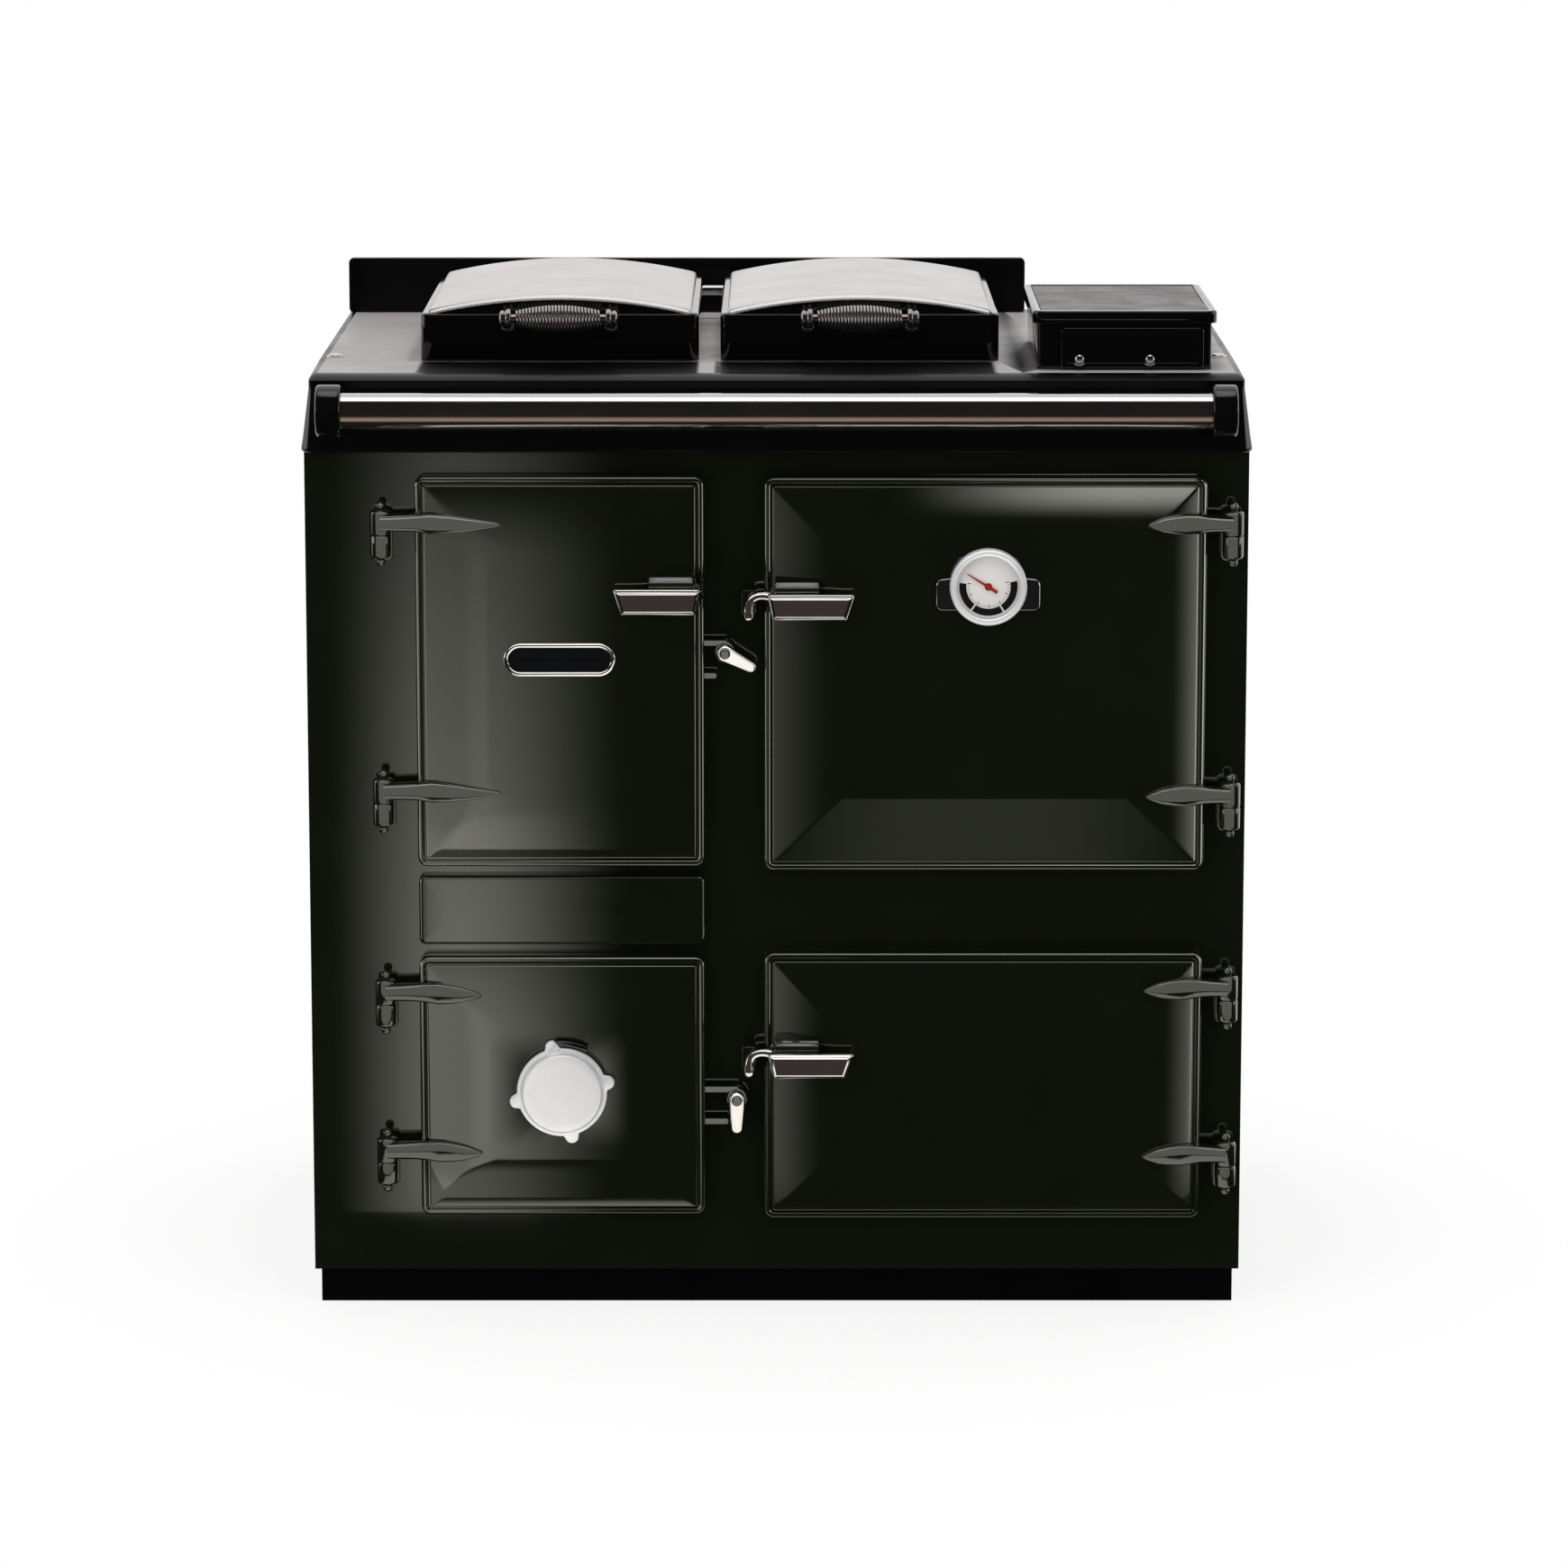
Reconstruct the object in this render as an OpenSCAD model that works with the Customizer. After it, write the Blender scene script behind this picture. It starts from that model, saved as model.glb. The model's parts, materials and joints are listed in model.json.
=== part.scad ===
// Cast iron range cooker with two lidded hotplates, a firebox and two ovens.
// Millimetres. X runs to the right, Y to the back, Z up. The origin is on the floor, under the middle of the body.

/* [Front layout, left to right] */
// Left edge of the front plate to the fire door
left_margin = 107; // [95:1:130]
// Width of the fire door, the middle panel and the ash door
left_door_w = 278; // [250:1:300]
// Plain iron between the left doors and the oven doors
column_gap = 58; // [54:1:80]
// Width of both oven doors
oven_door_w = 426; // [400:1:450]
// Oven doors to the right edge of the front plate
right_margin = 41; // [39:1:60]

/* [Front layout, bottom to top] */
// Height of the plinth
plinth_h = 34; // [28:1:50]
// Plinth top to the lower oven door
oven_bottom_gap = 56; // [50:1:70]
// Height of the lower oven door
lower_oven_door_h = 266; // [240:1:290]
// Plain iron between the two oven doors
oven_row_gap = 82; // [60:1:100]
// Height of the main oven door
main_oven_door_h = 384; // [350:1:410]
// Upper doors to the hob surround
top_gap = 24; // [20:1:30]
// Height of the hob surround and the top plate together
surround_h = 74; // [66:1:84]
// Plinth top to the ash door
ash_bottom_gap = 60; // [52:1:70]
// Height of the ash door
ash_door_h = 258; // [240:1:272]
// Height of the fixed panel between the fire door and the ash door
middle_panel_h = 68; // [50:1:90]
// Space above and below the fixed panel
strip_gap = 11; // [8:1:16]

/* [Casing] */
// Depth of the body from the front plate to the back panel
body_d = 600; // [580:5:640]
// Thickness of the cast front plate
front_t = 8; // [6:0.5:12]
// Thickness of the side and back sheets
sheet_t = 3; // [2:0.5:5]
// How far the plinth stands back from the body
plinth_inset = 6; // [3:1:15]
// Thickness of the plinth's walls
plinth_wall = 12; // [8:1:20]
// Thickness of the base deck on the plinth
deck_t = 6; // [4:0.5:10]
// Thickness of the top plate
top_t = 12; // [10:0.5:16]
// How far the surround stands out at its foot
surround_out = 22; // [16:1:30]
// How much further in the surround's top is than its foot
surround_flare = 8; // [4:1:12]
// How far the surround's foot hangs out at the sides
surround_side = 2; // [1:0.5:4]
// Wall of the hob surround
surround_wall = 10; // [8:1:16]
// Width of the rolled slope along the hob's front edge
roll_w = 22; // [14:1:30]
// Drop of the rolled slope
roll_drop = 5; // [2:0.5:8]

/* [Towel rail] */
// Outer diameter of the rail
rail_d = 34; // [25:1:40]
// Front plate to the foremost line of the rail's brackets
rail_reach = 100; // [90:1:120]
// Height of the rail's centre below the hob
rail_drop = 27; // [24:1:32]
// Space between the rail's end brackets
rail_span = 826; // [760:2:840]
// Thickness of each end bracket
rail_bracket_t = 24; // [18:1:30]
// Radius of the bracket's head round the rail
rail_head_r = 25; // [23:1:30]
// Wall of the rail's tube
rail_wall = 2; // [1.5:0.5:4]

/* [Doors] */
// How far each opening is smaller than its door, on every side
door_lap = 20; // [16:1:26]
// Thickness of a door at its rim
door_t = 21.5; // [18:0.5:26]
// Space between a shut door and the front plate
door_gap = 0.5; // [0.3:0.1:1]
// Height of the raised field over the rim
field_rise = 15; // [8:1:18]
// Width of the flat rim round the bevel
rim_w = 8; // [6:1:12]
// Width of the bevel between rim and field
bevel_w = 62; // [50:1:70]
// Corner radius of the doors
door_r = 9; // [6:1:14]
// Wall of the door castings round their hollow backs
door_wall = 9; // [7:0.5:12]
// Space round each liner in its opening
liner_clear = 8; // [7:0.5:10]
// How far each liner reaches into its opening
liner_d = 22; // [16:1:28]
// Wall of the liners
liner_t = 3; // [2:0.5:4]
// Width and depth of the rope seals
rope_w = 7; // [5:0.5:8]
// How much the middle panel stands out of the front plate
middle_panel_t = 14; // [8:1:20]

/* [Hinges] */
// Radius of the door hinge pins
pin_r = 4; // [3:0.5:5]
// Radial running clearance of pins, studs and rods
run_clear = 0.05; // [0.02:0.01:0.1]
// Outer radius of the hinge knuckles
knuckle_r = 10; // [8:0.5:11]
// Height of a strap and its knuckle
knuckle_h = 24; // [20:1:28]
// Height of a lug on the front plate
lug_h = 22; // [18:1:26]
// Height of the domed ends of knuckles and lugs
finial_h = 7; // [5:0.5:10]
// Gap between strap and lug
hinge_gap = 0.3; // [0.2:0.1:0.4]
// Front plate to the line of the hinge pins
pin_stand = 20; // [18:0.5:24]
// Door edge to the hinge pins, left doors
left_pin_out = 33; // [28:1:38]
// Door edge to the hinge pins, oven doors
oven_pin_out = 25; // [22:1:27]
// Length of the fire door's straps from the pin
fire_strap_l = 116; // [90:1:130]
// Length of the ash door's straps from the pin
ash_strap_l = 94; // [80:1:110]
// Length of the oven doors' straps from the pin
oven_strap_l = 82; // [70:1:100]
// Height of a strap at its tip
strap_tip_h = 5; // [3:0.5:8]
// Thickness of a strap over the door
strap_t = 8; // [5:0.5:10]
// Door top to the upper strap, tall doors
tall_hinge_drop = 44; // [36:1:60]
// Door foot to the lower strap, tall doors
tall_hinge_rise = 75; // [50:1:90]
// Door top to the upper strap, short doors
short_hinge_drop = 34; // [30:1:44]
// Door foot to the lower strap, short doors
short_hinge_rise = 66; // [44:1:76]

/* [Handles and latches] */
// Length of a lever's grip
grip_l = 84; // [70:1:100]
// Height of a lever's grip
grip_h = 25; // [20:1:30]
// Thickness of a lever's grip
grip_t = 15; // [10:1:18]
// Finger space between the rim and a lever's grip
grip_space = 29; // [24:1:34]
// Slant of the grip's ends
grip_slant = 8; // [3:1:12]
// Radius of the studs that the levers turn on
stud_r = 4; // [3:0.5:5]
// Radius of the levers' hubs
hub_r = 8; // [7:0.5:10]
// Lever pivot to the door's edge
pivot_in = 15; // [12:1:20]
// Reach of an oven lever's hooked tail from its pivot
tail_l = 30; // [26:1:32]
// Thickness of the hooked tail
tail_t = 9; // [7:0.5:11]
// Height of the fire lever's pivot over the fire door's foot
fire_lever_rise = 265; // [240:1:290]
// Height of the main oven lever's pivot over its door's foot
main_lever_rise = 264; // [240:1:290]
// Height of the lower oven lever's pivot over its door's foot
lower_lever_rise = 162; // [140:1:190]
// Height of the fire door's side latch over the door's foot
fire_latch_rise = 210; // [190:1:220]
// Height of the ash door's side latch over the door's foot
ash_latch_rise = 116; // [90:1:140]
// Fire door's edge to the stud of its side latch
fire_latch_reach = 20; // [18:1:24]
// Ash door's edge to the stud of its side latch
ash_latch_reach = 31; // [26:1:34]
// Length of a side latch's drop
latch_l = 28; // [22:1:30]
// Half the height of each catch's pad on the front plate
catch_h = 12; // [8:1:16]
// Space between a latch and its pad
catch_gap = 0.5; // [0.3:0.1:1]

/* [Ash door spinwheel] */
// Radius of the wheel
wheel_r = 44; // [36:1:46]
// Thickness of the wheel's rim
wheel_t = 7; // [5:0.5:10]
// Radius of the four grip lugs on its rim
wheel_lug_r = 7; // [5:0.5:9]
// Height of the wheel's centre over the ash door's foot
wheel_rise = 129; // [110:1:150]
// Radius of the air port behind the wheel
port_r = 30; // [20:1:32]
// Radius of the spindle
spindle_r = 5; // [4:0.5:6]
// Travel of the wheel when it is screwed open
wheel_travel = 6; // [4:0.5:8]
// Thickness of the thrust washer
washer_t = 2; // [1.5:0.5:3]

/* [Thermometer] */
// Outer radius of the bezel
bezel_r = 37; // [32:1:40]
// Radius of the dial that shows inside the bezel
dial_r = 31; // [28:0.5:33]
// Thermometer centre to the main oven door's middle, to the right
thermometer_x = 2; // [-20:1:20]
// Thermometer centre below the main oven door's top
thermometer_drop = 102; // [90:1:130]
// Height of the case over the door's field
case_h = 16; // [13:1:24]
// Reach of the case's side wings from its centre
wing_reach = 50; // [44:1:60]
// Length of the pointer from its pivot
needle_l = 24; // [18:1:26]

/* [Name plate] */
// Width of the blank name plate
badge_w = 108; // [90:1:120]
// Height of the name plate
badge_h = 33; // [26:1:40]
// Height of the plate's centre over the fire door's foot
badge_rise = 206; // [180:1:220]

/* [Hob] */
// Left edge of the front plate to the left lid
lid_margin = 107; // [100:1:120]
// Space between the two lids
lid_space = 21; // [14:1:30]
// Width of a lid
lid_w = 272; // [250:1:276]
// Depth of a lid
lid_d = 380; // [360:1:400]
// Front plate to the front of the lids
lid_front = 106; // [96:1:116]
// Height of a lid's cast shell
lid_h = 46; // [40:1:54]
// Gap between lid and hob
lid_gap = 0.5; // [0.3:0.1:1]
// Wall of the lid's shell
lid_wall = 6; // [5:0.5:9]
// Width of the polished lid cover
cover_w = 258; // [240:1:264]
// Height of the cover's crown over its edges
crown_h = 15; // [10:1:20]
// Height of the cover's lowest edge over the shell
cover_lip = 4; // [3:0.5:6]
// Thickness of the lid cover
cover_t = 2; // [1.5:0.5:3]
// How far the cover stands back from the shell's ends
cover_inset = 6; // [3:1:12]
// Thickness of the hotplate
hotplate_t = 30; // [24:1:40]
// Space between the hotplate and its cut-out
hotplate_clear = 0.4; // [0.3:0.1:1]
// Ledge of the top plate under the lid's edge, round the hotplate
hotplate_in = 9; // [8:1:16]
// Width of the two arms that reach back from a lid to the hinge rod
lid_arm_w = 20; // [14:1:26]
// Lid edge to the middle of an arm
lid_arm_in = 30; // [24:1:44]
// Lid back edge to the lid hinge rod
lid_axis_back = 14; // [12:1:20]
// Height of the lid hinge rod over the hob
lid_axis_h = 30; // [26:1:36]
// Radius of the lid hinge rod
rod_r = 5; // [4:0.5:6]
// Height of the splashback over the hob
splash_h = 57; // [40:1:70]
// Thickness of the splashback
splash_t = 12; // [8:1:20]
// Back of the body to the splashback
splash_back = 35; // [20:1:40]

/* [Lid handles] */
// Length of the coil grip between its end collars
coil_l = 92; // [80:1:100]
// Coil radius at the middle, to the wire's centre
coil_mid_r = 12; // [10:0.5:13]
// Coil radius at the ends, to the wire's centre
coil_end_r = 6.5; // [6:0.5:7]
// Thickness of the coil's wire
wire_d = 2.6; // [2:0.1:2.7]
// Number of curls in a coil
curls = 26; // [20:1:27]
// Radius of the rod inside the coil
handle_rod_r = 4; // [3:0.5:4.5]
// Lid front to the middle of the handle
handle_out = 31; // [28:1:36]
// Height of the handle's middle over the hob
handle_z = 45; // [40:1:48]
// Thickness of the handle's posts and collars
post_t = 9; // [7:0.5:12]

/* [Flue] */
// Space between the right lid and the flue box
flue_space = 35; // [24:1:50]
// Depth of the flue box
flue_d = 252; // [220:2:280]
// Flue box to the right edge of the front plate
flue_margin = 35; // [30:1:45]
// Front plate to the front of the flue box
flue_front = 36; // [30:1:50]
// Height of the flue box under its cover
flue_h = 45; // [38:1:56]
// Wall of the flue box
flue_wall = 6; // [5:0.5:9]
// Thickness of the cover's frame
flue_cover_t = 12; // [9:0.5:16]
// How far the cover hangs over the box
flue_lip = 5; // [3:0.5:8]
// Outer radius of the rear flue spigot
spigot_r = 62.5; // [50:0.5:75]
// Length of the spigot behind the body
spigot_l = 100; // [90:1:120]
// Wall of the spigot
spigot_wall = 4; // [3:0.5:6]
// Height of the spigot's centre above the floor
spigot_z = 740; // [700:5:745]
// Spigot centre from the middle of the body, to the right
spigot_x = 335; // [300:5:350]

/* [Inside] */
// Wall of the firebox casting
firebox_wall = 8; // [6:0.5:12]
// Depth of the firebox behind the front plate
firebox_d = 400; // [360:5:440]
// Cement joint between the plates of the firebox
plate_joint = 0.1; // [0.05:0.05:0.3]
// Height of the grate over the foot of the middle panel
grate_rise = 14; // [4:1:30]
// Thickness of the grate
grate_t = 18; // [14:1:24]
// Number of slots in the grate
grate_slots = 7; // [5:1:9]
// Thickness of the firebricks
brick_t = 25; // [20:1:32]
// Height of the firebricks over the grate
brick_h = 300; // [240:5:340]
// Wall of the oven boxes
oven_wall = 5; // [3:0.5:8]
// Depth of the oven boxes
oven_depth = 440; // [400:5:480]
// Space between an oven's door opening and its walls
oven_step = 5; // [2:0.5:8]
// Diameter of the shelf rods
shelf_rod = 6; // [5:0.5:8]
// Number of rods across a shelf
shelf_rods = 9; // [7:1:13]
// Height of the ash pan
pan_h = 80; // [60:1:100]
// Sheet of the ash pan
pan_t = 2; // [1.5:0.5:3]

/* [Hidden] */
$fn = 48;

// Colours of the finishes
enamel = "#1B2013";
black = "#0C0B0C";
steel = "#CFCAC8";
chrome = "#B9B4B2";
iron = "#3A3836";
brick = "#B59A78";

// Body
body_w = left_margin + left_door_w + column_gap + oven_door_w + right_margin;
half_w = body_w / 2;
front_y = -body_d / 2;
back_y = body_d / 2;
inner_y = front_y + front_t;
surround_z = plinth_h + oven_bottom_gap + lower_oven_door_h + oven_row_gap + main_oven_door_h + top_gap;
hob_z = surround_z + surround_h;
foot_half = half_w + surround_side;
top_half = foot_half - surround_flare;
foot_y = front_y - surround_out;
top_y = foot_y + surround_flare;

// Doors: the left side, right side, foot and top of each
left_x = -half_w + left_margin;
left_x2 = left_x + left_door_w;
oven_x2 = half_w - right_margin;
oven_x = oven_x2 - oven_door_w;
ash_z = plinth_h + ash_bottom_gap;
middle_z = ash_z + ash_door_h + strip_gap;
fire_z = middle_z + middle_panel_h + strip_gap;
lower_z = plinth_h + oven_bottom_gap;
main_z = lower_z + lower_oven_door_h + oven_row_gap;
upper_z2 = surround_z - top_gap + 1;
FIRE = [left_x, left_x2, fire_z, upper_z2];
ASH = [left_x, left_x2, ash_z, ash_z + ash_door_h];
MAIN = [oven_x, oven_x2, main_z, main_z + main_oven_door_h];
LOWER = [oven_x, oven_x2, lower_z, lower_z + lower_oven_door_h];
DOORS = [FIRE, ASH, MAIN, LOWER];

door_y = front_y - door_gap;
rim_y = door_y - door_t;
field_y = rim_y - field_rise;
pin_y = front_y - pin_stand;
left_pin_x = left_x - left_pin_out;
oven_pin_x = oven_x2 + oven_pin_out;

// Heights of the strap centres of a door
function tall_hinges(d) = [d[3] - tall_hinge_drop, d[2] + tall_hinge_rise];
function short_hinges(d) = [d[3] - short_hinge_drop, d[2] + short_hinge_rise];
HINGES = [[left_pin_x, tall_hinges(FIRE), 1], [left_pin_x, short_hinges(ASH), 1],
    [oven_pin_x, tall_hinges(MAIN), -1], [oven_pin_x, short_hinges(LOWER), -1]];

// Levers: pivot place, and the side that the grip points to
fire_pivot = [left_x2 - pivot_in, fire_z + fire_lever_rise];
main_pivot = [oven_x + pivot_in, main_z + main_lever_rise];
lower_pivot = [oven_x + pivot_in, lower_z + lower_lever_rise];
boss_y = rim_y - 6;
grip_y = rim_y - grip_space;
lever_back_y = boss_y - hinge_gap;
stud_tip_y = grip_y - grip_t + 4;
nose_r = 0.6 * tail_t;
nose_y = lever_back_y - tail_t / 2;
nose_drop = 12;

// Side latches on the left doors
fire_latch_p = [left_x2 + fire_latch_reach, fire_z + fire_latch_rise];
ash_latch_p = [left_x2 + ash_latch_reach, ash_z + ash_latch_rise];
latch_y = front_y - 12;
latch_plate_t = 5;
latch_t = 10;

// Spinwheel
wheel_x = (left_x + left_x2) / 2;
wheel_z = ash_z + wheel_rise;
wheel_y = field_y - washer_t - 2 * hinge_gap;
spindle_tip = wheel_y - 12;

// Thermometer
thermo_x = (oven_x + oven_x2) / 2 + thermometer_x;
thermo_z = MAIN[3] - thermometer_drop;
case_y = field_y - case_h;
dial_y = case_y + 7;

// Hob
left_lid_x = -half_w + lid_margin + lid_w / 2;
right_lid_x = left_lid_x + lid_w + lid_space;
flue_x = right_lid_x + lid_w / 2 + flue_space;
flue_right = half_w - flue_margin;
lid_y = front_y + lid_front;
lid_y2 = lid_y + lid_d;
lid_z = hob_z + lid_gap;
shell_z = lid_z + lid_h;
lid_axis_y = lid_y2 + lid_axis_back;
lid_axis_z = hob_z + lid_axis_h;
LIDS = [left_lid_x, right_lid_x];
lid_arm_x = lid_w / 2 - lid_arm_in;
plate_x = left_lid_x - lid_w / 2 + hotplate_in;
plate_x2 = right_lid_x + lid_w / 2 - hotplate_in;
plate_y = lid_y + hotplate_in;
plate_y2 = lid_y2 - hotplate_in;
plate_r = 24;
crown_r = (pow(cover_w / 2, 2) + pow(crown_h, 2)) / (2 * crown_h);
cover_z = shell_z + cover_lip;
splash_y = back_y - splash_back;
splash_x2 = flue_x + flue_lip + 3;

// Flue
flue_y = front_y + flue_front;
flue_z = hob_z + flue_h;
SOOT_DOOR = [flue_x + 22, flue_right - 8];
soot_door_t = 6;
flange_t = 8;
flange_w = 25;

// Towel rail
rail_y = front_y - rail_reach + rail_head_r;
rail_z = hob_z - rail_drop;

// Inside
fire_in = FIRE[0] + door_lap - 6;
fire_in2 = FIRE[1] - door_lap + 6;
grate_z = middle_z + grate_rise;
ash_floor_z = ash_z + door_lap - 8;
hotplate_z = hob_z - hotplate_t;
inside_y2 = inner_y + firebox_d;

// ---------- helpers ----------

// A block between two corners, given as ranges along X, Y and Z
module slab(x, y, z) {
    translate([x[0], y[0], z[0]]) cube([x[1] - x[0], y[1] - y[0], z[1] - z[0]]);
}

// A rectangle with round corners, its corner at the origin
module rounded(w, h, r) {
    translate([r, 0]) square([w - 2 * r, h]);
    translate([0, r]) square([w, h - 2 * r]);
    for (x = [r, w - r], y = [r, h - r]) translate([x, y]) circle(r);
}

// An upright plate with round corners: d gives left, right, foot and top, y its front and back
module upright(d, y, r, inset = 0) {
    translate([d[0] + inset, y[1], d[2] + inset])
        rotate([90, 0, 0])
            linear_extrude(y[1] - y[0])
                rounded(d[1] - d[0] - 2 * inset, d[3] - d[2] - 2 * inset, r);
}

// A flat plate with round corners between two corners
module lying(x, y, z, r) {
    translate([x[0], y[0], z[0]]) linear_extrude(z[1] - z[0]) rounded(x[1] - x[0], y[1] - y[0], r);
}

// An outline in X and Y carried up, in Y and Z carried along X, and in X and Z carried along Y
module along_z(points, z) {
    translate([0, 0, z[0]]) linear_extrude(z[1] - z[0]) polygon(points);
}
module along_x(points, x) {
    translate([x[0], 0, 0]) rotate([90, 0, 90]) linear_extrude(x[1] - x[0]) polygon(points);
}
module along_y(points, y) {
    translate([0, y[1], 0]) rotate([90, 0, 0]) linear_extrude(y[1] - y[0]) polygon(points);
}

// A round bar along Y, X or Z
module bar_y(p, y, r) {
    translate([p[0], y[1], p[1]]) rotate([90, 0, 0]) cylinder(h = y[1] - y[0], r = r);
}
module bar_x(p, x, r) {
    translate([x[0], p[0], p[1]]) rotate([0, 90, 0]) cylinder(h = x[1] - x[0], r = r);
}
module bar_z(p, z, r) {
    translate([p[0], p[1], z[0]]) cylinder(h = z[1] - z[0], r = r);
}

// ---------- casing ----------

module plinth() {
    w = half_w - plinth_inset;
    y = [front_y + plinth_inset, back_y - plinth_inset];
    color(black) difference() {
        slab([-w, w], y, [0, plinth_h]);
        slab([-w + plinth_wall, w - plinth_wall], [y[0] + plinth_wall, y[1] - plinth_wall], [-1, plinth_h - deck_t]);
    }
}

// The space that a door's rope seal fills, one groove round each opening
module rope_ring(d, y, grow = 0) {
    mid = (door_lap - rope_w) / 2;
    difference() {
        upright(d, y, door_r, mid - grow);
        upright(d, [y[0] - 1, y[1] + 1], door_r, mid + rope_w + grow);
    }
}

module front_plate() {
    color(enamel) difference() {
        slab([-half_w, half_w], [front_y, inner_y], [plinth_h, surround_z]);
        for (d = DOORS) {
            upright(d, [front_y - 1, inner_y + 1], door_r, door_lap);
            rope_ring(d, [front_y - 1, front_y + rope_w - 2], 0);
        }
    }
}

module door_ropes() {
    color(brick) for (d = DOORS) rope_ring(d, [front_y - door_gap + 0.2, front_y + rope_w - 2], 0);
}

module side_panels() {
    color(enamel) for (s = [-1, 1]) {
        x = s * (half_w - sheet_t / 2);
        slab([x - sheet_t / 2, x + sheet_t / 2], [inner_y, back_y], [plinth_h, surround_z]);
    }
}

module back_panel() {
    w = half_w - sheet_t;
    color(black) difference() {
        union() {
            slab([-w, w], [back_y - sheet_t, back_y], [plinth_h, surround_z]);
            slab([-half_w + surround_wall, half_w - surround_wall], [back_y - sheet_t, back_y],
                [surround_z, hob_z - top_t]);
        }
        bar_y([spigot_x, spigot_z], [back_y - sheet_t - 1, back_y + 1], spigot_r);
    }
}

// Outer shape of the surround: it widens from its top to its foot
module surround_outline(z) {
    t = (z[1] - surround_z) / surround_h;
    intersection() {
        along_x([[foot_y, z[0]], [top_y + (1 - t) * (foot_y - top_y), z[1]], [back_y, z[1]], [back_y, z[0]]],
            [-foot_half, foot_half]);
        along_y([[-foot_half, z[0]], [-foot_half + t * surround_flare, z[1]],
            [foot_half - t * surround_flare, z[1]], [foot_half, z[0]]], [foot_y, back_y]);
    }
}

module hob_surround() {
    z2 = hob_z - top_t;
    w = half_w - surround_wall;
    color(black) difference() {
        surround_outline([surround_z, z2]);
        slab([-w, w], [inner_y - 1, back_y + 1], [surround_z - 1, z2 + 1]);
    }
}

module top_plate() {
    z0 = hob_z - top_t;
    wx = top_half;
    color(black) difference() {
        along_x([[top_y, z0], [top_y, hob_z - roll_drop], [top_y + roll_w, hob_z], [back_y, hob_z], [back_y, z0]],
            [-wx, wx]);
        lying([plate_x - hotplate_clear, plate_x2 + hotplate_clear],
            [plate_y - hotplate_clear, plate_y2 + hotplate_clear], [z0 - 1, hob_z + 1], plate_r);
        slab([flue_x + flue_wall + 8, flue_right - flue_wall - 8],
            [flue_y + flue_wall + 8, flue_y + flue_d - flue_wall - 8], [z0 - 1, hob_z + 1]);
    }
}

// The hotplate hangs in the cut-out on a ledge that laps under the top plate
module hotplate() {
    z0 = hob_z - hotplate_t;
    ledge = 14;
    color(iron) union() {
        lying([plate_x, plate_x2], [plate_y, plate_y2], [z0, hob_z - 0.3], plate_r);
        lying([plate_x - ledge, plate_x2 + ledge], [plate_y - ledge, plate_y2 + ledge],
            [z0 + 4, hob_z - top_t], plate_r);
    }
}

// Upright strip behind the lids, with a flat foot that runs back from it
module splashback() {
    foot_t = 6;
    color(black) {
        slab([-top_half, splash_x2], [splash_y, splash_y + splash_t], [hob_z, hob_z + splash_h]);
        slab([-top_half, splash_x2], [splash_y + splash_t, back_y], [hob_z, hob_z + foot_t]);
    }
}

module towel_rail() {
    x = rail_span / 2 + rail_bracket_t / 2;
    color(chrome) difference() {
        bar_x([rail_y, rail_z], [-x, x], rail_d / 2);
        bar_x([rail_y, rail_z], [-x - 1, x + 1], rail_d / 2 - rail_wall);
    }
}

module rail_brackets() {
    color(black) for (s = [-1, 1]) {
        x0 = s > 0 ? rail_span / 2 : -rail_span / 2 - rail_bracket_t;
        x = [x0, x0 + rail_bracket_t];
        difference() {
            union() {
                bar_x([rail_y, rail_z], x, rail_head_r);
                slab(x, [rail_y, front_y], [rail_z - rail_head_r * 0.8, rail_z + 10]);
            }
            surround_outline([surround_z, hob_z]);
            bar_x([rail_y, rail_z], [s > 0 ? x[0] - 1 : x[0] + rail_bracket_t / 2,
                s > 0 ? x[1] - rail_bracket_t / 2 : x[1] + 1], rail_d / 2 + 0.1);
        }
    }
}

module middle_panel() {
    color(enamel) upright([left_x, left_x2, middle_z, middle_z + middle_panel_h], [front_y - middle_panel_t, front_y], 5);
}

// ---------- doors ----------

// Solid outer shape of a door: rim, sloping bevel and raised field
module door_blank(d) {
    upright(d, [rim_y, door_y], door_r);
    intersection() {
        along_z([[d[0] + rim_w, rim_y], [d[1] - rim_w, rim_y],
            [d[1] - rim_w - bevel_w, field_y], [d[0] + rim_w + bevel_w, field_y]], [d[2], d[3]]);
        along_x([[rim_y, d[2] + rim_w], [rim_y, d[3] - rim_w],
            [field_y, d[3] - rim_w - bevel_w], [field_y, d[2] + rim_w + bevel_w]], [d[0], d[1]]);
        upright(d, [field_y - 1, rim_y + 1], door_r);
    }
}

// Cast door: the blank with a hollow back inside the seal line
module door_casting(d) {
    color(enamel) difference() {
        door_blank(d);
        upright(d, [rim_y + door_wall, door_y + 1], door_r, door_lap + liner_clear + liner_t + 4);
    }
}

// Shallow pan behind the door that fills the opening and closes the casting's back
module door_liner(d) {
    inset = door_lap + liner_clear;
    color(iron) difference() {
        upright(d, [door_y, door_y + liner_d], door_r, inset);
        upright(d, [door_y - 1, door_y + liner_d - liner_t], door_r, inset + liner_t);
    }
}

// Rounded end of a knuckle or lug: a dome that points up or down
module finial(p, z, up) {
    translate([p[0], p[1], z]) mirror([0, 0, up ? 0 : 1])
        rotate_extrude() intersection() {
            translate([0, finial_h - knuckle_r]) circle(knuckle_r);
            square([knuckle_r, finial_h]);
        }
}

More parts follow.
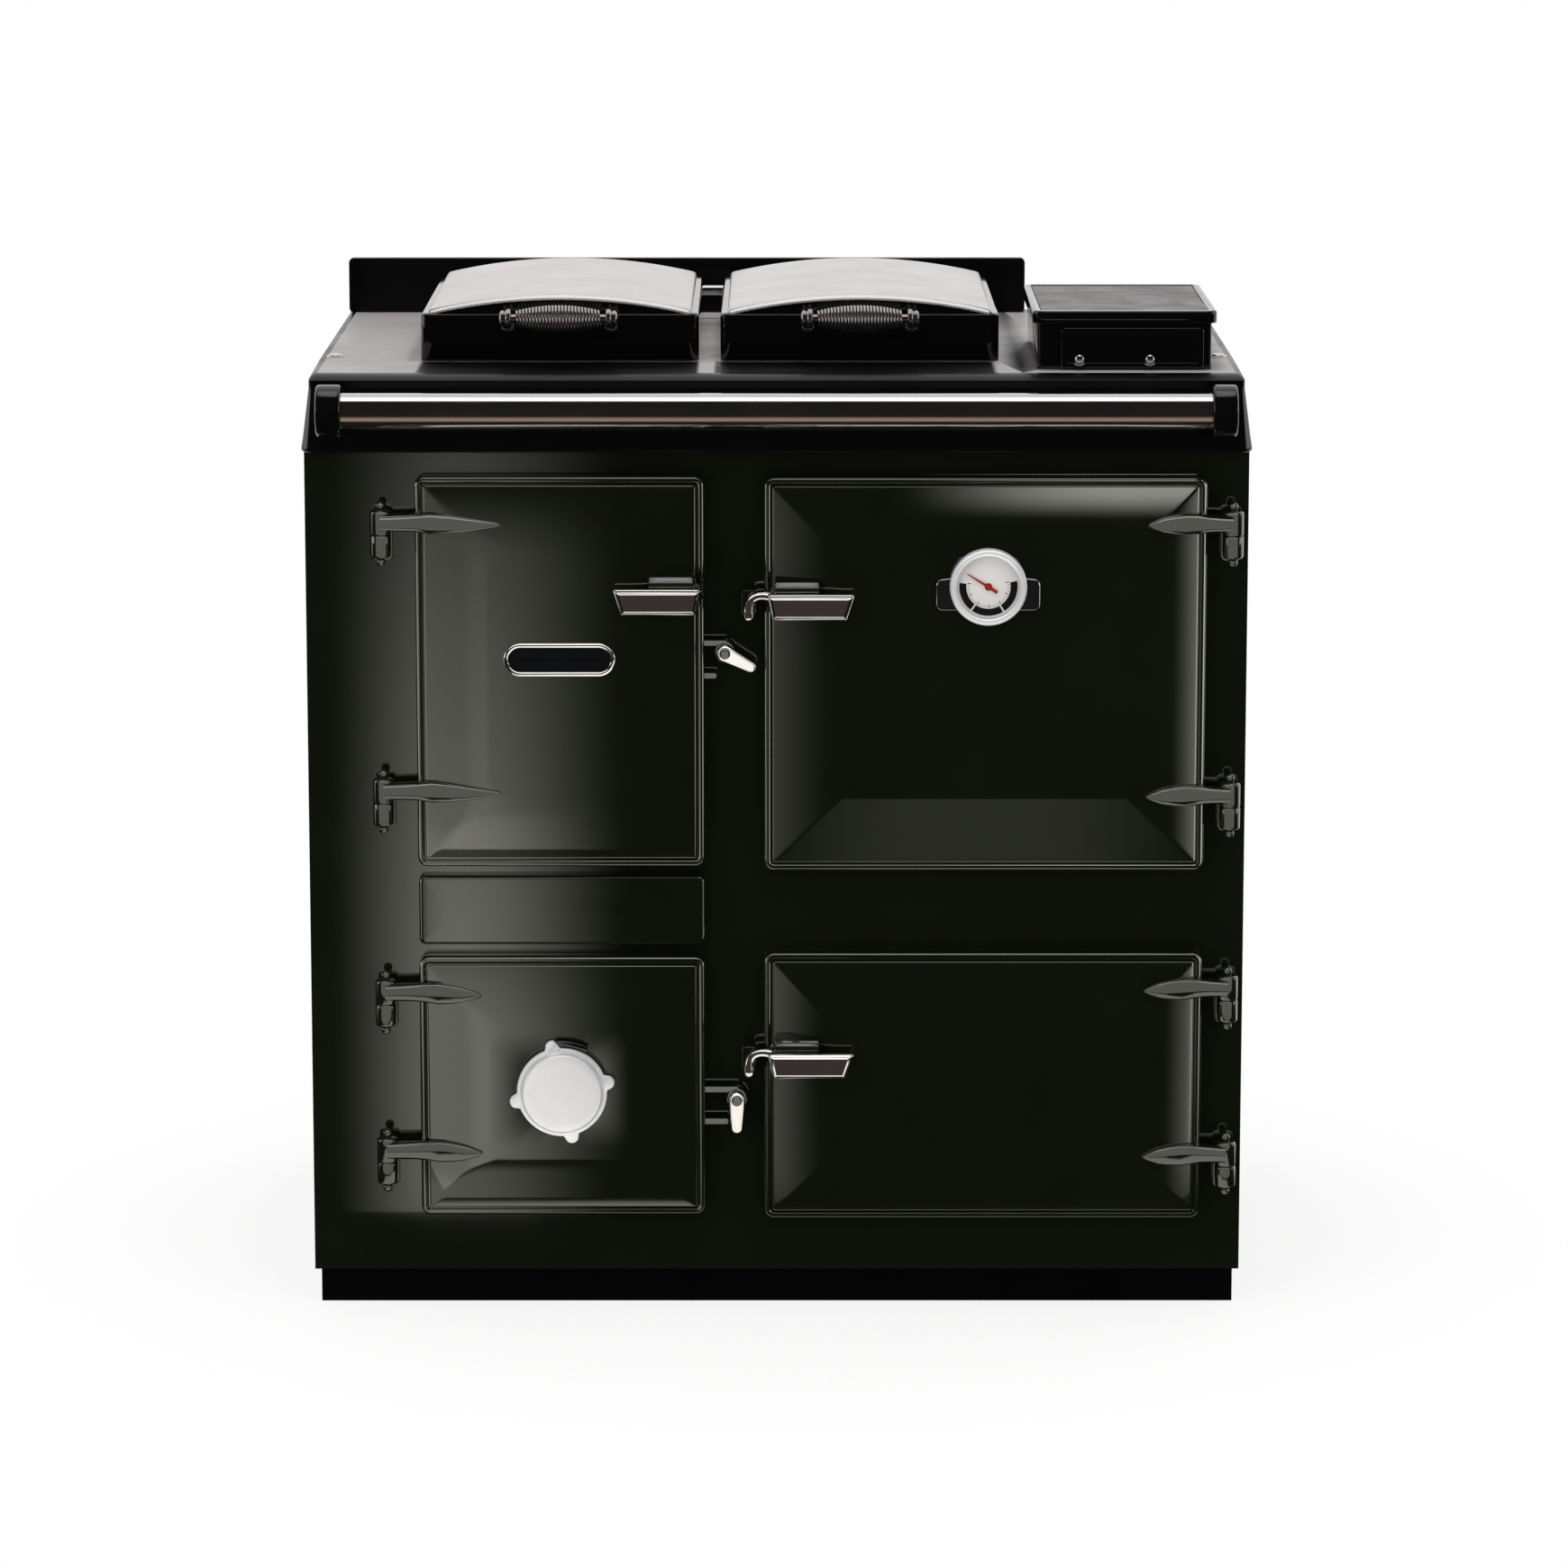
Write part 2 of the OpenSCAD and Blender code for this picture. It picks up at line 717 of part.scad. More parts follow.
// Strap hinge: a knuckle on the pin and a pointed bar that lies over the door
module strap(d, pin_x, z, side, length) {
    rim_x = side > 0 ? d[0] : d[1];
    field_x = rim_x + side * (rim_w + bevel_w);
    tip_x = pin_x + side * length;
    front = field_y - strap_t;
    tip_front = abs(tip_x - rim_x) > rim_w + bevel_w ? front + 3 : rim_y - strap_t - field_rise * 0.8;
    h = knuckle_h / 2;
    difference() {
        union() {
            bar_z([pin_x, pin_y], [z - h, z + h], knuckle_r);
            finial([pin_x, pin_y], z + h, true);
            intersection() {
                along_z([[pin_x, pin_y - knuckle_r], [pin_x, pin_y + knuckle_r * 0.6], [rim_x, pin_y + knuckle_r * 0.6],
                    [tip_x, rim_y], [tip_x, tip_front], [rim_x + side * (rim_w + bevel_w * 0.9), front + 1],
                    [rim_x, rim_y - strap_t - 1]], [z - h, z + h]);
                along_y([[pin_x, z - h], [pin_x, z + h], [rim_x + side * 20, z + h * 0.8],
                    [tip_x, z + strap_tip_h / 2], [tip_x, z - strap_tip_h / 2], [rim_x + side * 20, z - h * 0.8]],
                    [front - 20, front_y]);
            }
        }
        door_blank(d);
        bar_z([pin_x, pin_y], [z - h - 1, z + h - 3], pin_r + run_clear);
    }
}

// Both straps of a door
module straps(d, pin_x, heights, side, length) {
    color(enamel) for (z = heights) strap(d, pin_x, z, side, length);
}

// Lugs with their pins, which stand on the front plate under each strap
module hinge_lugs() {
    color(enamel) for (hinge = HINGES, z = hinge[1]) {
        p = [hinge[0], pin_y];
        top = z - knuckle_h / 2 - hinge_gap;
        bar_z(p, [top - lug_h, top], knuckle_r);
        finial(p, top - lug_h, false);
        bar_z(p, [top - 1, z + knuckle_h / 2 - 4], pin_r);
        slab([p[0] - knuckle_r * 0.7, p[0] + knuckle_r * 0.7], [pin_y, front_y], [top - lug_h, top]);
    }
}

// Pivot boss, stud, and the rest block above a lever; side is where the grip points
module lever_mount(d, p, side) {
    block_start = 5;
    block_l = 39;
    block_slant = 6;
    z = [p[1] + grip_h / 2 - 2, p[1] + grip_h / 2 + 11];
    x = p[0] - side * block_start;
    color(enamel) difference() {
        union() {
            bar_y(p, [boss_y, rim_y], hub_r + 3);
            bar_y(p, [stud_tip_y + 0.6, boss_y + 1], stud_r);
            along_y([[x, z[0]], [x, z[1]], [x + side * block_l, z[1]], [x + side * (block_l + block_slant), z[0]]],
                [grip_y + 0.6, rim_y]);
        }
        door_blank(d);
    }
}

// Lever: hub on the stud, and a grip that stands off the door with slanted ends
module lever(p, side) {
    h = grip_h / 2;
    near = p[0] - side * (hub_r + 4);
    far = near + side * grip_l;
    difference() {
        union() {
            bar_y(p, [grip_y, lever_back_y], hub_r);
            along_y([[near, p[1] + h], [far, p[1] + h], [far - side * grip_slant, p[1] - h],
                [near + side * grip_slant * 0.6, p[1] - h]], [grip_y - grip_t, grip_y]);
        }
        bar_y(p, [stud_tip_y, lever_back_y + 1], stud_r + run_clear);
    }
}

// Hooked tail of an oven lever: a crank past the door's edge with a nose that drops in front of its catch
module lever_tail(p, side) {
    x = p[0] - side * tail_l;
    y = [lever_back_y - tail_t, lever_back_y];
    foot = p[1] + 1;
    difference() {
        union() {
            slab([min(x, p[0]), max(x, p[0])], y, [foot, foot + tail_t]);
            bar_y([x, foot], y, tail_t);
            bar_z([x, nose_y], [p[1] - nose_drop, foot + 1], nose_r);
            translate([x, nose_y, p[1] - nose_drop]) sphere(nose_r);
        }
        bar_y(p, [y[0] - 1, y[1] + 1], stud_r + run_clear);
    }
}

// Fork on a door's edge that carries a side latch, and the stud the latch turns on
module latch_fork(d, p) {
    y = [latch_y - latch_plate_t, latch_y];
    arm_h = 6;
    upper_arm = p[1] + 6;
    lower_arm = p[1] - 26;
    short_by = 10;
    color(enamel) difference() {
        union() {
            slab([left_x2 - 6, p[0]], y, [upper_arm, upper_arm + arm_h]);
            slab([left_x2 - 6, p[0] - short_by], y, [lower_arm, lower_arm + arm_h]);
            bar_y(p, y, stud_r + 8);
            bar_y(p, [y[0] - latch_t - 3, latch_y], stud_r);
        }
        upright(d, [rim_y, door_y], door_r);
    }
}

// Side latch: an eye on the fork's stud with a rounded drop; turn 0 hangs straight down
module side_latch(p, turn) {
    y = [latch_y - latch_plate_t - hinge_gap - latch_t, latch_y - latch_plate_t - hinge_gap];
    eye_r = stud_r + 5;
    drop_r = 6;
    color(chrome) translate([p[0], 0, p[1]]) rotate([0, -turn, 0]) difference() {
        union() {
            bar_y([0, 0], y, eye_r);
            slab([-drop_r, drop_r], y, [-latch_l, 0]);
            bar_y([0, -latch_l], y, drop_r);
        }
        bar_y([0, 0], [y[0] - 1, y[1] + 1], stud_r + run_clear);
    }
}

module fire_door() { door_casting(FIRE); }
module fire_door_straps() {
    straps(FIRE, left_pin_x, tall_hinges(FIRE), 1, fire_strap_l);
    lever_mount(FIRE, fire_pivot, -1);
    latch_fork(FIRE, fire_latch_p);
}
module fire_door_liner() { door_liner(FIRE); }
module fire_door_handle() { color(chrome) lever(fire_pivot, -1); }
module fire_door_latch() { side_latch(fire_latch_p, 62); }

// Blank oval plate with a raised border on the fire door
module name_plate() {
    p = [(left_x + left_x2) / 2, fire_z + badge_rise];
    r = badge_h / 2;
    plate_t = 4;
    border = 3;
    sunk = 1.5;
    module oval(grow, y) {
        translate([p[0] - badge_w / 2 - grow, y[1], p[1] - r - grow]) rotate([90, 0, 0])
            linear_extrude(y[1] - y[0]) rounded(badge_w + 2 * grow, badge_h + 2 * grow, r + grow - 0.01);
    }
    color(chrome) difference() {
        oval(0, [field_y - plate_t, field_y]);
        oval(-border, [field_y - plate_t - 1, field_y - plate_t + sunk]);
    }
}

module ash_door() {
    difference() {
        door_casting(ASH);
        bar_y([wheel_x, wheel_z], [field_y - 1, door_y + 1], port_r);
    }
}
module ash_door_straps() {
    straps(ASH, left_pin_x, short_hinges(ASH), 1, ash_strap_l);
    latch_fork(ASH, ash_latch_p);
}
module ash_door_liner() {
    difference() {
        door_liner(ASH);
        bar_y([wheel_x, wheel_z], [door_y, door_y + liner_d + 1], port_r);
    }
}
module ash_door_latch() { side_latch(ash_latch_p, 0); }

// Spider across the air port with the spindle for the wheel
module spinwheel_spindle() {
    p = [wheel_x, wheel_z];
    hub_y = [field_y, field_y + 10];
    leg_y = [field_y, field_y + 8];
    leg_w = 8;
    color(iron) {
        bar_y(p, [spindle_tip, hub_y[1]], spindle_r);
        bar_y(p, hub_y, spindle_r + 7);
        for (a = [30, 150, 270])
            intersection() {
                translate([wheel_x, 0, wheel_z]) rotate([0, a, 0])
                    slab([0, port_r + 5], leg_y, [-leg_w / 2, leg_w / 2]);
                bar_y(p, leg_y, port_r);
            }
    }
}

module spinwheel_washer() {
    p = [wheel_x, wheel_z];
    color(chrome) difference() {
        bar_y(p, [field_y - 0.3 - washer_t, field_y - 0.3], spindle_r + 6);
        bar_y(p, [field_y - 1 - washer_t, field_y + 1], spindle_r + run_clear);
    }
}

// Wheel with four grip lugs, a domed face and a blind hub for the spindle
module spinwheel() {
    p = [wheel_x, wheel_z];
    face_h = 8;
    color(steel) difference() {
        union() {
            bar_y(p, [wheel_y - wheel_t, wheel_y], wheel_r);
            for (a = [12:90:282])
                translate([p[0] + (wheel_r + 1) * cos(a), wheel_y, p[1] + (wheel_r + 1) * sin(a)])
                    rotate([90, 0, 0]) cylinder(h = wheel_t, r = wheel_lug_r);
            translate([wheel_x, wheel_y - wheel_t, wheel_z]) rotate([90, 0, 0])
                cylinder(h = face_h, r1 = wheel_r - 3, r2 = wheel_r - 7, $fn = 64);
        }
        bar_y(p, [spindle_tip - 1, wheel_y + 1], spindle_r + run_clear);
    }
}

module main_oven_door() {
    p = [thermo_x, thermo_z];
    difference() {
        door_casting(MAIN);
        bar_y(p, [field_y - 1, field_y + 5], dial_r);
    }
}
module main_oven_straps() {
    straps(MAIN, oven_pin_x, tall_hinges(MAIN), -1, oven_strap_l);
    lever_mount(MAIN, main_pivot, 1);
}
module main_oven_liner() { door_liner(MAIN); }
module main_oven_handle() {
    color(chrome) {
        lever(main_pivot, 1);
        lever_tail(main_pivot, 1);
    }
}

// Case of the thermometer: a boss with two side wings and a bezel ring over the dial
module thermometer_case() {
    p = [thermo_x, thermo_z];
    wing_t = 5;
    wing_foot = 24;
    wing_top = 6;
    wing_peak = 12;
    lip_t = 2;
    lip_w = 0.8;
    color(steel) difference() {
        union() {
            bar_y(p, [case_y, field_y], bezel_r);
            along_y([[p[0] - wing_reach, p[1] - wing_foot], [p[0] - wing_reach, p[1] + wing_top],
                [p[0], p[1] + wing_peak], [p[0] + wing_reach, p[1] + wing_top],
                [p[0] + wing_reach, p[1] - wing_foot]], [field_y - wing_t, field_y]);
        }
        bar_y(p, [case_y - 1, case_y + lip_t], dial_r - lip_w);
        bar_y(p, [case_y + lip_t, field_y + 1], dial_r + 0.1);
    }
}
module thermometer_dial() {
    p = [thermo_x, thermo_z];
    color("white") {
        bar_y(p, [dial_y, field_y + 5], dial_r);
        bar_y(p, [case_y + 4.2, dial_y], 1.2);
    }
}
module thermometer_glass() {
    color("lightblue", 0.3) bar_y([thermo_x, thermo_z], [case_y + 2, case_y + 3.6], dial_r);
}
// Pointer at rest, towards the upper left, with its tail
module thermometer_needle() {
    y = [case_y + 4.8, case_y + 6];
    color("red") difference() {
        union() {
            bar_y([thermo_x, thermo_z], y, 3);
            translate([thermo_x, 0, thermo_z]) rotate([0, -148, 0])
                along_y([[-10, -1.6], [-10, 1.6], [0, 1.4], [needle_l, 0.4], [needle_l, -0.4], [0, -1.4]], y);
        }
        bar_y([thermo_x, thermo_z], [y[0] - 1, y[1] + 1], 1.2 + run_clear);
    }
}

module lower_oven_door() { door_casting(LOWER); }
module lower_oven_straps() {
    straps(LOWER, oven_pin_x, short_hinges(LOWER), -1, oven_strap_l);
    lever_mount(LOWER, lower_pivot, 1);
}
module lower_oven_liner() { door_liner(LOWER); }
module lower_oven_handle() {
    color(chrome) {
        lever(lower_pivot, 1);
        lever_tail(lower_pivot, 1);
    }
}

// Pads on the front plate that the latches close against
module door_catches() {
    module pad(x, half, front, z) { slab([x - half, x + half], [front, front_y], [z - catch_h, z + catch_h]); }
    color(enamel) {
        for (p = [fire_latch_p, ash_latch_p]) pad(p[0], 6, latch_y + catch_gap, p[1]);
        for (p = [main_pivot, lower_pivot]) pad(p[0] - tail_l, 7, nose_y + nose_r + catch_gap, p[1]);
    }
}

// ---------- hob ----------

// Cross-section of a lid from the front: the shell's box under a low arch
module lid_section(inset, arch_inset) {
    w = lid_w / 2 - inset;
    arch_w = cover_w / 2 - arch_inset;
    translate([-w, lid_z]) square([2 * w, lid_h - inset]);
    intersection() {
        translate([0, cover_z + crown_h - crown_r]) circle(crown_r - cover_t - arch_inset, $fn = 180);
        translate([-arch_w, shell_z - lid_wall]) square([2 * arch_w, cover_lip + crown_h + lid_wall]);
    }
}

module lid_prism(y, inset, arch_inset) {
    translate([0, y[1], 0]) rotate([90, 0, 0]) linear_extrude(y[1] - y[0]) lid_section(inset, arch_inset);
}

// Cast shell of a lid, open below, with two arms that reach back to the hinge rod
module lid_shell(x) {
    eye_r = rod_r + 5;
    color(black) translate([x, 0, 0]) difference() {
        union() {
            intersection() {
                lid_prism([lid_y, lid_y2], 0, 0);
                union() {
                    slab([-lid_w, lid_w], [lid_y, lid_y2], [lid_z, shell_z]);
                    slab([-lid_w, lid_w], [lid_y + cover_inset, lid_y2 - cover_inset], [lid_z, shell_z + crown_h + 9]);
                }
            }
            for (s = [-1, 1]) {
                arm = [s * lid_arm_x - lid_arm_w / 2, s * lid_arm_x + lid_arm_w / 2];
                bar_x([lid_axis_y, lid_axis_z], arm, eye_r);
                slab(arm, [lid_y2 - 1, lid_axis_y], [lid_axis_z - 8, lid_axis_z + 8]);
            }
        }
        slab([-lid_w / 2 + lid_wall, lid_w / 2 - lid_wall], [lid_y + lid_wall, lid_y2 - lid_wall],
            [lid_z - 1, shell_z - lid_wall]);
        bar_x([lid_axis_y, lid_axis_z], [-lid_w, lid_w], rod_r + run_clear);
    }
}

// Polished cover: a thin crowned sheet with turned-down edges along its sides
module lid_cover(x) {
    y = [lid_y + cover_inset - 4, lid_y2 - cover_inset + 4];
    w = cover_w / 2;
    color(steel) translate([x, y[1], 0]) rotate([90, 0, 0]) linear_extrude(y[1] - y[0]) {
        intersection() {
            difference() {
                translate([0, cover_z + crown_h - crown_r]) circle(crown_r, $fn = 180);
                translate([0, cover_z + crown_h - crown_r]) circle(crown_r - cover_t, $fn = 180);
            }
            translate([-w, shell_z]) square([2 * w, cover_lip + crown_h]);
        }
        for (s = [-1, 1])
            translate([s * (w + cover_t / 2) - cover_t / 2, shell_z]) square([cover_t, cover_lip + 0.5]);
    }
}

// Plate that closes the lid from below and faces the hotplate
module lid_liner(x) {
    inset = lid_wall + 0.3;
    wall = inset + 4;
    floor_t = 3;
    z = [lid_z + 2, lid_z + 16];
    color(steel) translate([x, 0, 0]) difference() {
        slab([-lid_w / 2 + inset, lid_w / 2 - inset], [lid_y + inset, lid_y2 - inset], z);
        slab([-lid_w / 2 + wall, lid_w / 2 - wall], [lid_y + wall, lid_y2 - wall], [z[0] + floor_t, z[1] + 1]);
    }
}

// Path of the coil grip along X: a helix whose radius swells to the middle, with straight ends.
// Eight rings to a curl. Each end turns into the axis over a quarter round, then runs straight.
rings = 8;
bend_r = 2.2;
bend_steps = 3;
helix_half = coil_l / 2 - wire_d - bend_r;
function coil_radius(u) = coil_end_r + (coil_mid_r - coil_end_r) * pow(sin(180 * u), 0.8);
function helix_at(u) = [-helix_half + 2 * helix_half * u, 360 * curls * u, coil_radius(u)];
coil_body = [for (i = [0:curls * rings]) helix_at(i / (curls * rings))];
function coil_end(side) = [for (k = [1:bend_steps]) let (a = 90 * k / bend_steps)
    [side * (helix_half + bend_r * (1 - cos(a))),
     (side > 0 ? 360 * curls : 0) + side * bend_r * sin(a) / coil_end_r * 180 / PI, coil_end_r]];
coil_tail_l = coil_end(-1)[bend_steps - 1];
coil_tail_r = coil_end(1)[bend_steps - 1];
coil_path = concat([[-coil_l / 2, coil_tail_l[1], coil_end_r]],
    [for (k = [bend_steps - 1:-1:0]) coil_end(-1)[k]], coil_body, coil_end(1),
    [[coil_l / 2, coil_tail_r[1], coil_end_r]]);
function coil_point(c) = [c[0], c[2] * cos(c[1]), c[2] * sin(c[1])];
coil_points = [for (c = coil_path) coil_point(c)];
function unit(v) = v / norm(v);
last = len(coil_path) - 1;
coil_gap = min([for (i = [0:last]) for (j = [i + rings - 2:min(last, i + rings + 3)])
    norm(coil_points[i] - coil_points[j])]) - wire_d;
echo(least_coil_gap = coil_gap);

// Ring of the tube at step i: the radial direction and the one square to it and to the path
function coil_ring(i) = let (
    c = coil_path[i],
    along = i == 0 || i == last ? [1, 0, 0] : unit(coil_points[i + 1] - coil_points[i - 1]),
    radial = [0, cos(c[1]), sin(c[1])],
    out = unit(radial - (radial * along) * along),
    across = cross(along, out))
    [for (k = [0:5]) coil_points[i] + wire_d / 2 * (cos(60 * k) * out + sin(60 * k) * across)];
coil_vertices = [for (i = [0:last]) each coil_ring(i)];
coil_faces = concat(
    [for (i = [0:last - 1], k = [0:5]) let (a = 6 * i + k, b = 6 * i + (k + 1) % 6) each [[a, a + 6, b], [b, a + 6, b + 6]]],
    [for (k = [1:4]) [0, k, k + 1]],
    [for (k = [1:4]) [6 * last, 6 * last + k + 1, 6 * last + k]]);

// Handle of a lid: two posts with collars, the rod between them and the coil grip round it
module lid_handle(x) {
    p = [lid_y - handle_out, hob_z + handle_z];
    collar = coil_l / 2 + post_t;
    collar_r = coil_end_r + 3;
    post_h = 8;
    foot_t = 4;
    foot_h = 16;
    foot_side = 2;
    color(chrome) translate([x, 0, 0]) {
        bar_x(p, [-collar - 2, collar + 2], handle_rod_r);
        translate([0, p[0], p[1]]) polyhedron(coil_vertices, coil_faces, convexity = 10);
        for (s = [-1, 1]) {
            x0 = s > 0 ? coil_l / 2 : -collar;
            bar_x(p, [x0, x0 + post_t], collar_r);
            slab([x0, x0 + post_t], [p[0], lid_y], [p[1] - 1 - post_h, p[1] - 1]);
            slab([x0 - foot_side, x0 + post_t + foot_side], [lid_y - foot_t, lid_y], [p[1] - foot_h, p[1]]);
        }
    }
}

module left_lid_shell() { lid_shell(left_lid_x); }
module left_lid_cover() { lid_cover(left_lid_x); }
module left_lid_liner() { lid_liner(left_lid_x); }
module left_lid_handle() { lid_handle(left_lid_x); }
module right_lid_shell() { lid_shell(right_lid_x); }
module right_lid_cover() { lid_cover(right_lid_x); }
module right_lid_liner() { lid_liner(right_lid_x); }
module right_lid_handle() { lid_handle(right_lid_x); }

// Hinge rod behind the lids and the posts that carry it
module lid_hinges() {
    x = [left_lid_x - lid_arm_x - lid_arm_w, right_lid_x + lid_arm_x + lid_arm_w];
    post_w = 12;
    post_r = rod_r + 3;
    color(chrome) {
        bar_x([lid_axis_y, lid_axis_z], x, rod_r);
        for (c = LIDS, s = [-1, 1]) {
            middle = c + s * (lid_arm_x - lid_arm_w / 2 - hinge_gap - post_w / 2);
            post = [middle - post_w / 2, middle + post_w / 2];
            slab(post, [lid_axis_y - post_r, lid_axis_y + post_r], [hob_z, lid_axis_z]);
            bar_x([lid_axis_y, lid_axis_z], post, post_r);
        }
    }
}

// ---------- flue ----------

module flue_box() {
    x = [flue_x, flue_right];
    y = [flue_y, flue_y + flue_d];
    lap = 8;
    color(black) difference() {
        slab(x, y, [hob_z, flue_z]);
        slab([x[0] + flue_wall, x[1] - flue_wall], [y[0] + flue_wall, y[1] - flue_wall], [hob_z - 1, flue_z + 1]);
        slab([SOOT_DOOR[0] + lap, SOOT_DOOR[1] - lap], [y[0] - 1, y[0] + flue_wall + 1],
            [hob_z + lap, flue_z - flue_wall - 4]);
    }
}

// Cover: a frame over the box with a plate let into it
module flue_cover() {
    x = [flue_x - flue_lip, flue_right + flue_lip];
    y = [flue_y - flue_lip, flue_y + flue_d + flue_lip];
    z = [flue_z, flue_z + flue_cover_t];
    frame_w = 8;
    sunk = 2;
    color(iron) difference() {
        slab(x, y, z);
        slab([x[0] + frame_w, x[1] - frame_w], [y[0] + frame_w, y[1] - frame_w], [z[1] - sunk, z[1] + 1]);
        slab([flue_x + flue_wall, flue_right - flue_wall], [flue_y + flue_wall, flue_y + flue_d - flue_wall],
            [z[0] - 1, z[0] + flue_cover_t / 2]);
    }
}

// Soot door on the front of the flue box
module flue_door() {
    color(black) slab([SOOT_DOOR[0], SOOT_DOOR[1]], [flue_y - soot_door_t, flue_y], [hob_z + 1, flue_z - 4]);
}

// Tube behind the body, and the flange ring round its foot, where the tube is turned down to fit the ring
module flue_spigot() {
    p = [spigot_x, spigot_z];
    y = [back_y, back_y + flange_t, back_y + spigot_l];
    foot_r = spigot_r - spigot_wall * 0.625;
    color(iron) {
        difference() {
            union() {
                bar_y(p, [y[0], y[1] + 1], foot_r);
                bar_y(p, [y[1], y[2]], spigot_r);
            }
            bar_y(p, [y[0] - 1, y[2] + 1], spigot_r - spigot_wall);
        }
        difference() {
            bar_y(p, [y[0], y[1] - run_clear], spigot_r + flange_w);
            bar_y(p, [y[0] - 1, y[1] + 1], foot_r + run_clear);
        }
    }
}

// Domed screws: two on the hob, two on the soot door, four round the spigot and three up each side
module fixing_screws() {
    hob_screw_in = 15;
    hob_screw_back = 150;
    circle_r = spigot_r + flange_w * 0.56;
    module head(r, h) {
        dome_r = (r * r + h * h) / (2 * h);
        rotate_extrude() intersection() {
            translate([0, h - dome_r]) circle(dome_r);
            square([r, h]);
        }
    }
    color(chrome) {
        for (s = [-1, 1]) translate([s * (top_half - hob_screw_in), front_y + hob_screw_back, hob_z]) head(9, 3);
        for (x = [SOOT_DOOR[0] + 18, SOOT_DOOR[1] - 52])
            translate([x, flue_y - soot_door_t, hob_z + 11]) rotate([90, 0, 0]) head(7, 8);
        for (a = [45:90:315])
            translate([spigot_x + circle_r * cos(a), back_y + flange_t, spigot_z + circle_r * sin(a)])
                rotate([-90, 0, 0]) head(6, 4);
        for (s = [-1, 1], z = [plinth_h + 60, (plinth_h + surround_z) / 2, surround_z - 60])
            translate([s * half_w, back_y - 20, z]) rotate([0, s * 90, 0]) head(5, surround_side - 0.2);
    }
}

// ---------- inside ----------

// Tall box, open to the front: ash pit below, grate ledge, fire space above.
// It is bolted together from cast plates with thin cement joints between them.
module firebox() {
    z = [plinth_h, hotplate_z - 1];
    back = inside_y2 - firebox_wall;
    between = [fire_in + plate_joint, fire_in2 - plate_joint];
    ledge_w = 12;
    ledge_z = [grate_z - 8, grate_z];
    color(iron) {
        slab([fire_in - firebox_wall, fire_in], [inner_y, back - plate_joint], z);
        slab([fire_in2, fire_in2 + firebox_wall], [inner_y, back - plate_joint], z);
        slab([fire_in - firebox_wall, fire_in2 + firebox_wall], [back, inside_y2], z);
        slab(between, [inner_y, back - plate_joint], [ash_floor_z - firebox_wall, ash_floor_z]);
        slab([between[0], fire_in + ledge_w], [inner_y, back - ledge_w - plate_joint], ledge_z);
        slab([fire_in2 - ledge_w, between[1]], [inner_y, back - ledge_w - plate_joint], ledge_z);
        slab(between, [back - ledge_w, back - plate_joint], ledge_z);
    }
}

// Slotted grate on the firebox's ledge
module grate() {
    x = [fire_in + 1, fire_in2 - 1];
    y = [inner_y + 4, inside_y2 - firebox_wall - 1];
    side = 12;
    end = 16;
    pitch = (x[1] - x[0] - 2 * side) / grate_slots;
    color(iron) difference() {
        slab(x, y, [grate_z, grate_z + grate_t]);
        for (i = [0:grate_slots - 1])
            slab([x[0] + side + (i + 0.25) * pitch, x[0] + side + (i + 0.75) * pitch], [y[0] + end, y[1] - end],
                [grate_z - 1, grate_z + grate_t + 1]);
    }
}

// Bricks stand on the grate's edge against the left, right and back walls
module firebricks() {
    z = [grate_z + grate_t, grate_z + grate_t + brick_h];
    y = [inner_y + 30, inside_y2 - firebox_wall];
    color(brick) {
        slab([fire_in, fire_in + brick_t], y, z);
        slab([fire_in2 - brick_t, fire_in2], y, z);
        slab([fire_in + brick_t, fire_in2 - brick_t], [y[1] - brick_t, y[1]], z);
    }
}

// Open tray on the ash pit's floor, with a tab to pull it out by
module ash_pan() {
    tab_d = 12;
    tab_w = 50;
    middle = (fire_in + fire_in2) / 2;
    x = [fire_in + 6, fire_in2 - 6];
    y = [door_y + liner_d + 4 + tab_d, inside_y2 - firebox_wall - 20];
    z = [ash_floor_z, ash_floor_z + pan_h];
    color(iron) difference() {
        union() {
            slab(x, y, z);
            slab([middle - tab_w / 2, middle + tab_w / 2], [y[0] - tab_d, y[0]], [z[1] - 14, z[1] - 8]);
        }
        slab([x[0] + pan_t, x[1] - pan_t], [y[0] + pan_t, y[1] - pan_t], [z[0] + pan_t, z[1] + 1]);
    }
}

// Oven box: five walls behind the front plate, with ledges for the shelves
module oven_box(d, ledges) {
    x = [d[0] + door_lap - oven_step, d[1] - door_lap + oven_step];
    z = [d[2] + door_lap - oven_step, d[3] - door_lap + oven_step];
    y2 = inner_y + oven_depth;
    ledge_w = 8;
    ledge_t = 4;
    color(iron) {
        difference() {
            slab([x[0] - oven_wall, x[1] + oven_wall], [inner_y, y2], [z[0] - oven_wall, z[1] + oven_wall]);
            slab(x, [inner_y - 1, y2 - oven_wall], z);
        }
        for (h = ledges) {
            slab([x[0], x[0] + ledge_w], [inner_y + 12, y2 - oven_wall], [z[0] + h - ledge_t, z[0] + h]);
            slab([x[1] - ledge_w, x[1]], [inner_y + 12, y2 - oven_wall], [z[0] + h - ledge_t, z[0] + h]);
        }
    }
}
main_ledges = [90, 190];
lower_ledges = [80];
module main_oven() { oven_box(MAIN, main_ledges); }
module lower_oven() { oven_box(LOWER, lower_ledges); }

